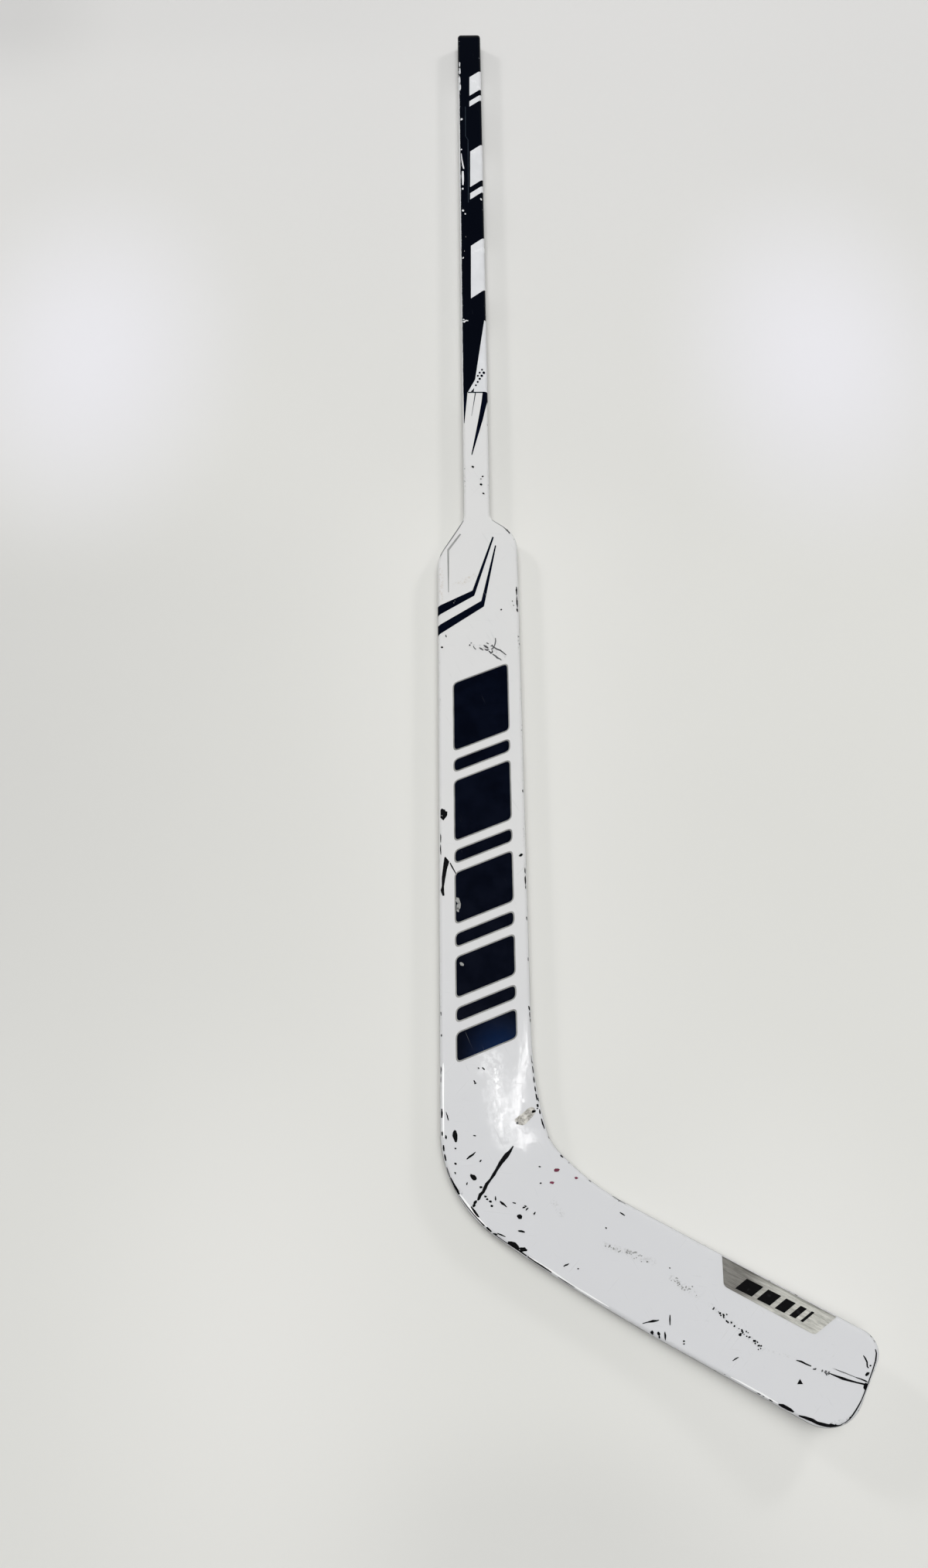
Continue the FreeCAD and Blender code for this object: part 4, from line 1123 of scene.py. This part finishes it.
# %% Painted highlight lines
HIGHLIGHT_STROKES = [
    [(573, 1374, 0.8), (573.1, 1382, 1.8), (573.1, 1400, 1.8), (573.1, 1430, 1.6), (573.2, 1460, 1.8),
     (573.6, 1471, 0.8)],
    [(591, 1541, 0.6), (595.4, 1546, 1.6), (600.6, 1552.6, 2.2), (606.2, 1560, 2.2), (612, 1567.4, 2),
     (618.2, 1574.8, 1.6), (627, 1584.2, 1.2), (634, 1590.6, 0.6)],
    [(684, 1625.6, 0.8), (690.6, 1629.4, 1.8), (700.5, 1636, 2.4), (710.5, 1642.4, 2.4),
     (720.4, 1649, 2.4), (730.4, 1656, 2.4), (740.3, 1662.6, 2.4), (750.2, 1668.8, 2.4),
     (760, 1674.6, 2.4), (770, 1680.6, 2), (778, 1685.2, 1.4), (787, 1690.2, 0.6)],
    [(945, 1781.2, 0.8), (956, 1786.8, 1.8), (966, 1792.4, 2.2), (976, 1798, 2.2), (984, 1802.4, 2.2),
     (991, 1806.8, 2.2), (1001, 1812.6, 2.2), (1006, 1815.4, 1.2)],
]
highlight_outlines = drawn(strokes=HIGHLIGHT_STROKES)
flakes("painted_highlights", highlight_outlines, front_sheet, painted_highlight_ink, HIGHLIGHT_LIFT)

# %% [markdown]
# ## Chips on the blade
# The blade takes the most blows: specks by the heel, nicks along the sole and round the toe, and a
# crack past the end of the rub line. The black crumbs on that line are too many to place one by one,
# so they are strewn along it by the seeded generator and come out the same in each run. One stroke
# along the sole's edge is partly worn edge and partly painted contact shadow.

# %% Chips on the blade
BLADE_CHIPS = [
    (627.8, 1547.6, 2.8, 2.4), (630, 1551, 2.6, 2.2), (634, 1554, 3.4, 2.6, 20),
    (636, 1559.8, 3.6, 2.3, 10), (640.8, 1550.3, 5, 1.5, 88), (665, 1555.8, 4.2, 1.2, 15),
    (677.6, 1561.6, 4.4, 1.6, -18), (681.4, 1563.8, 3.6, 1.5, -40), (679.6, 1559.8, 3, 1, 15),
    (691.2, 1569.3, 3.6, 1.6, -55), (672, 1573.6, 6.6, 5, 15), (674.8, 1592.6, 8.8, 2.4, 12),
    (697.8, 1509, 3.2, 1.2, 5), (699.2, 1530.3, 1.8, 1.6), (676.2, 1616, 8.6, 5, 6),
    (640.9, 1596.4, 4.4, 2.6, 15), (730.6, 1636.8, 4.4, 1.3, -35), (733.8, 1635.6, 4, 1.1, -35),
    (747.6, 1641, 1.8, 1.2), (727.2, 1494.8, 4.6, 3.6, 40), (736.7, 1503, 1.4, 1.4),
    (711.8, 1470.4, 2.6, 1.6, 50), (764.3, 1525.7, 3, 2.4, 30), (783.7, 1588.3, 2.2, 1.4, 60),
    (842.9, 1724.2, 5.6, 4, 80), (851.6, 1724.6, 5, 3, 70), (852.4, 1730, 5, 1.8, 95),
    (860.1, 1728.4, 9.6, 1.9, 88), (884.4, 1734.6, 2, 1.6), (884.4, 1738.2, 2, 1.6),
    (1034.5, 1788, 8.6, 8.6, -90, 3, 0.1), (866, 1640, 1.6, 1), (956.5, 1726.5, 3.4, 2.4, 20),
    (1125.5, 1766.3, 2.2, 2), (1074, 1842, 2, 2), (1075.5, 1844.4, 8, 6, 10),
    (1099.6, 1833.8, 2.6, 2.2, 70), (980.8, 1803.8, 5, 1.8, 24), (986.8, 1807, 3, 1.6, 24),
    (1031, 1672, 3.4, 1.5, 26), (996, 1654.6, 3, 1.3, 26), (1021.6, 1668.6, 2.4, 1, 26),
    (1128.6, 1726.6, 3, 1.3, 50), (1132, 1733.6, 4, 1.3, 66), (1119.6, 1793.6, 8.4, 5.4, 100),
    (1121.4, 1777, 5.4, 3, -45),
]
BLADE_STROKES = [
    [(646.4, 1553.6, 1), (649.6, 1556.4, 2.8), (652.4, 1558.4, 1.8), (655.4, 1561.4, 0.6)],
    [(656.7, 1606.6, 1.8), (660.4, 1608.2, 6), (664.6, 1610.4, 7), (669.2, 1613.2, 4.4),
     (672, 1615.4, 1.4)],
    [(643, 1595, 0.8), (647.7, 1597, 1.4), (653.6, 1599.6, 0.7)],
    # Along the sole's edge: partly worn edge, partly painted contact shadow.
    [(721, 1652.6, 1), (731, 1659.2, 2.2), (742.6, 1666.4, 1)],
    [(698.1, 1434.8, 1.4), (698.5, 1437.8, 2.4), (698.7, 1440.8, 1.4)],
    [(700.3, 1446.8, 1.2), (702.3, 1453.3, 2.4), (704.6, 1459.8, 1.2)],
    [(793.5, 1545, 0.8), (801, 1550, 1.6), (810, 1555, 0.8)],
    [(801.5, 1568, 0.7), (805, 1570.2, 1.4), (808, 1572.3, 0.7)],
    [(830.8, 1711.8, 0.6), (838, 1709.9, 1.5), (844.6, 1708.6, 2.7), (849, 1708.2, 1.6),
     (852.2, 1707.2, 0.6)],
    [(866.4, 1700.6, 0.7), (866.2, 1707, 1.4), (866.4, 1714, 0.7)],
    [(947.4, 1760, 0.7), (951, 1757.6, 1.5), (955.2, 1755.4, 0.6)],
    [(1029.8, 1759.3, 1), (1036, 1761, 2.1), (1042, 1764, 2.1), (1049, 1767, 1)],
    [(1072, 1776, 0.9), (1082, 1780, 2.1), (1090, 1783, 3.2), (1096, 1785, 2.4), (1108, 1788, 1.8),
     (1116, 1790, 1.7), (1123, 1791, 2.2)],
    [(1107, 1781.5, 0.7), (1113, 1783.5, 1.5), (1119, 1786, 1.5), (1122, 1787.5, 0.8)],
    [(1116.3, 1753, 0.9), (1119, 1757, 1.6), (1121, 1761.5, 1.6), (1121.5, 1767, 1.4),
     (1123, 1769.5, 0.9)],
    [(1006.6, 1817, 2.4), (1011.6, 1818.8, 5.6), (1017, 1821.4, 6), (1022, 1824, 4.6),
     (1026.4, 1826.4, 2)],
    [(993.8, 1811, 1.8), (996.3, 1812.6, 3.4), (998.8, 1814, 1.8)],
    [(1032.6, 1831.6, 2.4), (1040.6, 1833.6, 4), (1050.6, 1837, 4.4), (1056.6, 1840.2, 4),
     (1064.6, 1842.8, 4.8), (1070.6, 1844.6, 5), (1080, 1845.4, 4), (1090, 1845.6, 2.2)],
    [(1131.8, 1745, 1), (1133.6, 1750, 1.8), (1132.6, 1760, 2), (1128.8, 1774.2, 2), (1124.8, 1786, 2),
     (1120.8, 1796.8, 2.2), (1114.8, 1810.6, 2), (1107, 1824.2, 2), (1099.4, 1836, 2.2),
     (1092.8, 1841.6, 1.6)],
    [(1080, 1842, 0.8), (1082, 1844, 1.5), (1084, 1846, 0.8)],
    [(1086, 1845, 0.8), (1090, 1842.6, 1.5), (1094, 1840.5, 0.8)],
]
blade_marks = drawn(BLADE_CHIPS, BLADE_STROKES)
blade_marks += scattered(SLIDE_END, 40, 1.7, (0.7, 1.9))
flakes("blade_chips", blade_marks, blade_sheet, laminate)

# %% [markdown]
# ## Grey scuffs and painted edge shade
# Lighter contact leaves grey instead of black: a cluster of curls below the stripes, specks strewn along
# the puck's path, and a hairline near the toe. Two grey lines along the shoulders' edges are painted
# edge shade. They share a soot-coloured and a grey ink.

# %% Grey scuffs and painted edge shade
PADDLE_SCUFFS_AND_EDGE_SHADE = [
    [(619, 837.5, 0.8), (622, 839, 1.6), (625, 841, 0.8)],
    [(625.3, 834.5, 1), (628, 836.3, 2.2), (631.5, 838.6, 1.2)],
    [(626.5, 840, 0.8), (630, 840.8, 1.8), (632, 840.2, 0.8)],
    [(629, 831.4, 0.7), (630.5, 832.2, 1.2), (632, 832.9, 0.7)],
    [(632, 842, 0.9), (635, 844.8, 2), (636.5, 843.6, 1.8), (636.6, 841, 0.9)],
    [(634.6, 836, 0.9), (636.4, 834.6, 1.6), (638, 837, 1.6), (637, 839.4, 1.4), (635, 839.7, 0.8)],
    [(640.6, 825.3, 0.7), (640.8, 829, 1.2), (640, 833.4, 1.2), (638.7, 836.7, 0.9)],
    [(638.5, 836.8, 1), (642, 839.5, 1.5), (646.5, 841, 1.3), (650, 843.6, 1.1), (654.5, 847, 0.8)],
    [(637, 846, 0.8), (641, 848.6, 1.4), (643, 850.8, 1.9), (646, 852, 1.2), (648.4, 853.8, 0.7)],
    [(612, 835.5, 0.6), (613.2, 838, 1), (615.5, 840.2, 0.6)],
    [(608.4, 832.2, 0.6), (609.4, 831.7, 1), (610.2, 831.4, 0.6)],
    # The last two strokes are painted edge shade along the shoulders.
    [(568, 718.6, 0.6), (574, 709.6, 1.2), (582, 698.4, 1.4), (592, 684, 1.4), (599, 673, 0.8)],
    [(636.4, 671.5, 0.6), (644, 676, 1.2), (651, 680.4, 1.4), (656.8, 687.6, 1.2)],
]
flakes("paddle_scuffs_and_edge_shade", drawn(strokes=PADDLE_SCUFFS_AND_EDGE_SHADE), paddle_sheet, soot_ink)
scuffs = [stroke((1076, 1769.3, 0.5), (1090, 1774.8, 0.9), (1107, 1781.5, 0.6))]
scuffs += scattered([(1051, 1770), (1071, 1776)], 10, 1.2, (1.2, 2.4))
flakes("blade_scuffs", scuffs, blade_sheet, soot_ink)
faint = scattered(SLIDE_MIDDLE, 22, 1.8, (0.7, 1.5))
faint += scattered(SLIDE_START, 30, 2.2, (0.7, 1.5))
flakes("blade_specks", faint, blade_sheet, grey_ink)

# %% [markdown]
# ## Bare ground and flecks
# In the inner corner a patch of paint has come off down to a pale, blotched ground. A few pale flakes
# show on bars and stripes, and three dark red flecks were left past the heel by another stick's paint.

# %% Bare ground and flecks
BARE_PATCH = [
    (665.3, 1450), (666.6, 1446.8), (670, 1444), (674, 1441), (679, 1437), (683, 1433.4),
    (687.5, 1431.5), (691, 1433), (692.5, 1437.5), (691, 1441.5), (687.5, 1445.5), (683.5, 1449.5),
    (680, 1453.5), (676, 1455.5), (671, 1454.5), (667.3, 1453.5),
]
ground_ink = ink("ground_ink", (0.22, 0.21, 0.19), (0.60, 0.58, 0.54), 0.5, blotch=330)
red_ink = ink("red_ink", (0.11, 0.008, 0.03), (0.20, 0.016, 0.06), 0.4)
flakes("bare_patch", [BARE_PATCH], paddle_sheet, ground_ink)
SPOTS = [(690.2, 1437.6, 5, 3, -30), (669, 1452.3, 2.6, 1.6, 20)]
flakes("patch_spots", drawn(SPOTS), paddle_sheet, soot_ink)
SILVER_FLECKS = [
    (592.4, 1164.6, 7, 4.2, 70), (593, 1171.6, 8, 4.6, 105), (592, 1177, 4.6, 2.6, 80),
    (597, 1247, 4.6, 3.2, 40), (586.8, 779.8, 0.7, 0.5), (588.2, 777.5, 0.5, 0.3),
]
flakes("silver_flecks", drawn(SILVER_FLECKS), paddle_sheet, grey_ink)
RED_FLECKS = [(719.7, 1513.3, 7, 3.4, -10), (713.5, 1529.5, 5.4, 2.8, 10), (745, 1523.5, 4, 2.6, 10)]
flakes("red_flecks", drawn(RED_FLECKS), front_sheet, red_ink)

# %% [markdown]
# ## Marks on shaft and foil
# The shaft's left corner is rubbed through to white in dashes, and small navy dots fade the navy out at
# the splice. The foil carries a plain row of slanted black bars that get slimmer towards the toe.

# %% Marks on the shaft
SHAFT_CHIPS = [
    (594, 83, 5, 1.6, 88), (594.4, 92, 7, 1.9, 88), (594.2, 103, 8, 1.8, 90), (594.6, 113, 7, 2.1, 90),
    (596.7, 154.4, 2.2, 2), (596.5, 193.4, 1.8, 1.6), (598.3, 244.3, 1.8, 1.6),
    (622.2, 257.7, 2.2, 1.7, 60), (598.8, 272.6, 2.2, 2, 30), (601.7, 276.8, 1.5, 1.4),
    (602.4, 306.4, 0.3, 0.1), (600.4, 325, 0.3, 0.1), (599.6, 413.4, 2.6, 1.1, 20),
    (598.8, 333.6, 2.2, 1.2, -40),
]
SHAFT_STROKES = [
    [(596.2, 198.4, 0.8), (597, 206, 1.2), (598.6, 214, 1.6), (599.6, 218.4, 1.2)],
    [(598.5, 221.5, 1.6), (598.4, 228, 2.3), (598.6, 233, 2), (598.5, 239.5, 1.6)],
    [(597.6, 415, 0.8), (600, 416.6, 1.5), (603, 414.6, 1.2), (605.4, 415.2, 0.7)],
]
flakes("shaft_scuffs", drawn(SHAFT_CHIPS, SHAFT_STROKES), shaft_sheet, white_ink)
DOTS = [
    (623.3, 478.3, 2), (620.3, 482.2, 2.1), (625.6, 482.2, 3), (617.9, 486.2, 2.1),
    (622.9, 486.2, 2.9), (620.3, 490.1, 2.5), (617.7, 494.1, 2.2), (615.4, 498.4, 2),
]
DOT_CORNERS, DOT_RAGGED = 8, 0.05
LAST_WEDGE = [(608.8, 507.4), (612.6, 507.4), (613.2, 501.6)]
dots = [chip(px, py, size, size, 0, DOT_CORNERS, DOT_RAGGED) for px, py, size in DOTS] + [LAST_WEDGE]
flakes("shaft_dots", dots, shaft_sheet, navy_ink)

# %% Bars on the foil
FOIL_START = Vector((958, 1660))
FOIL_RUN, FOIL_ACROSS = Vector((0.894, 0.448)), Vector((-0.448, 0.894))
FOIL_BARS, FOIL_GAP, FOIL_HALF, FOIL_SLANT = (24, 19, 14, 9, 4), 7, 9, 4


def foil_bar(at, width):
    sides = [(at - FOIL_SLANT, FOIL_HALF), (at + width - FOIL_SLANT, FOIL_HALF),
             (at + width + FOIL_SLANT, -FOIL_HALF), (at + FOIL_SLANT, -FOIL_HALF)]
    return route(*[FOIL_START + FOIL_RUN * along + FOIL_ACROSS * across for along, across in sides])


foil_bars, at = [], 0
for width in FOIL_BARS:
    foil_bars.append(foil_bar(at, width))
    at += width + FOIL_GAP
film("foil_bars", foil_sheet, foil_bars, ON_SKIN, laminate)

# %% [markdown]
# ## Putting the sheets away
# The sheets were only there to cut from, so they go.

# %% Put the sheets away
for sheet in (shaft_sheet, paddle_sheet, blade_sheet, foil_sheet, front_sheet):
    bpy.data.objects.remove(sheet)
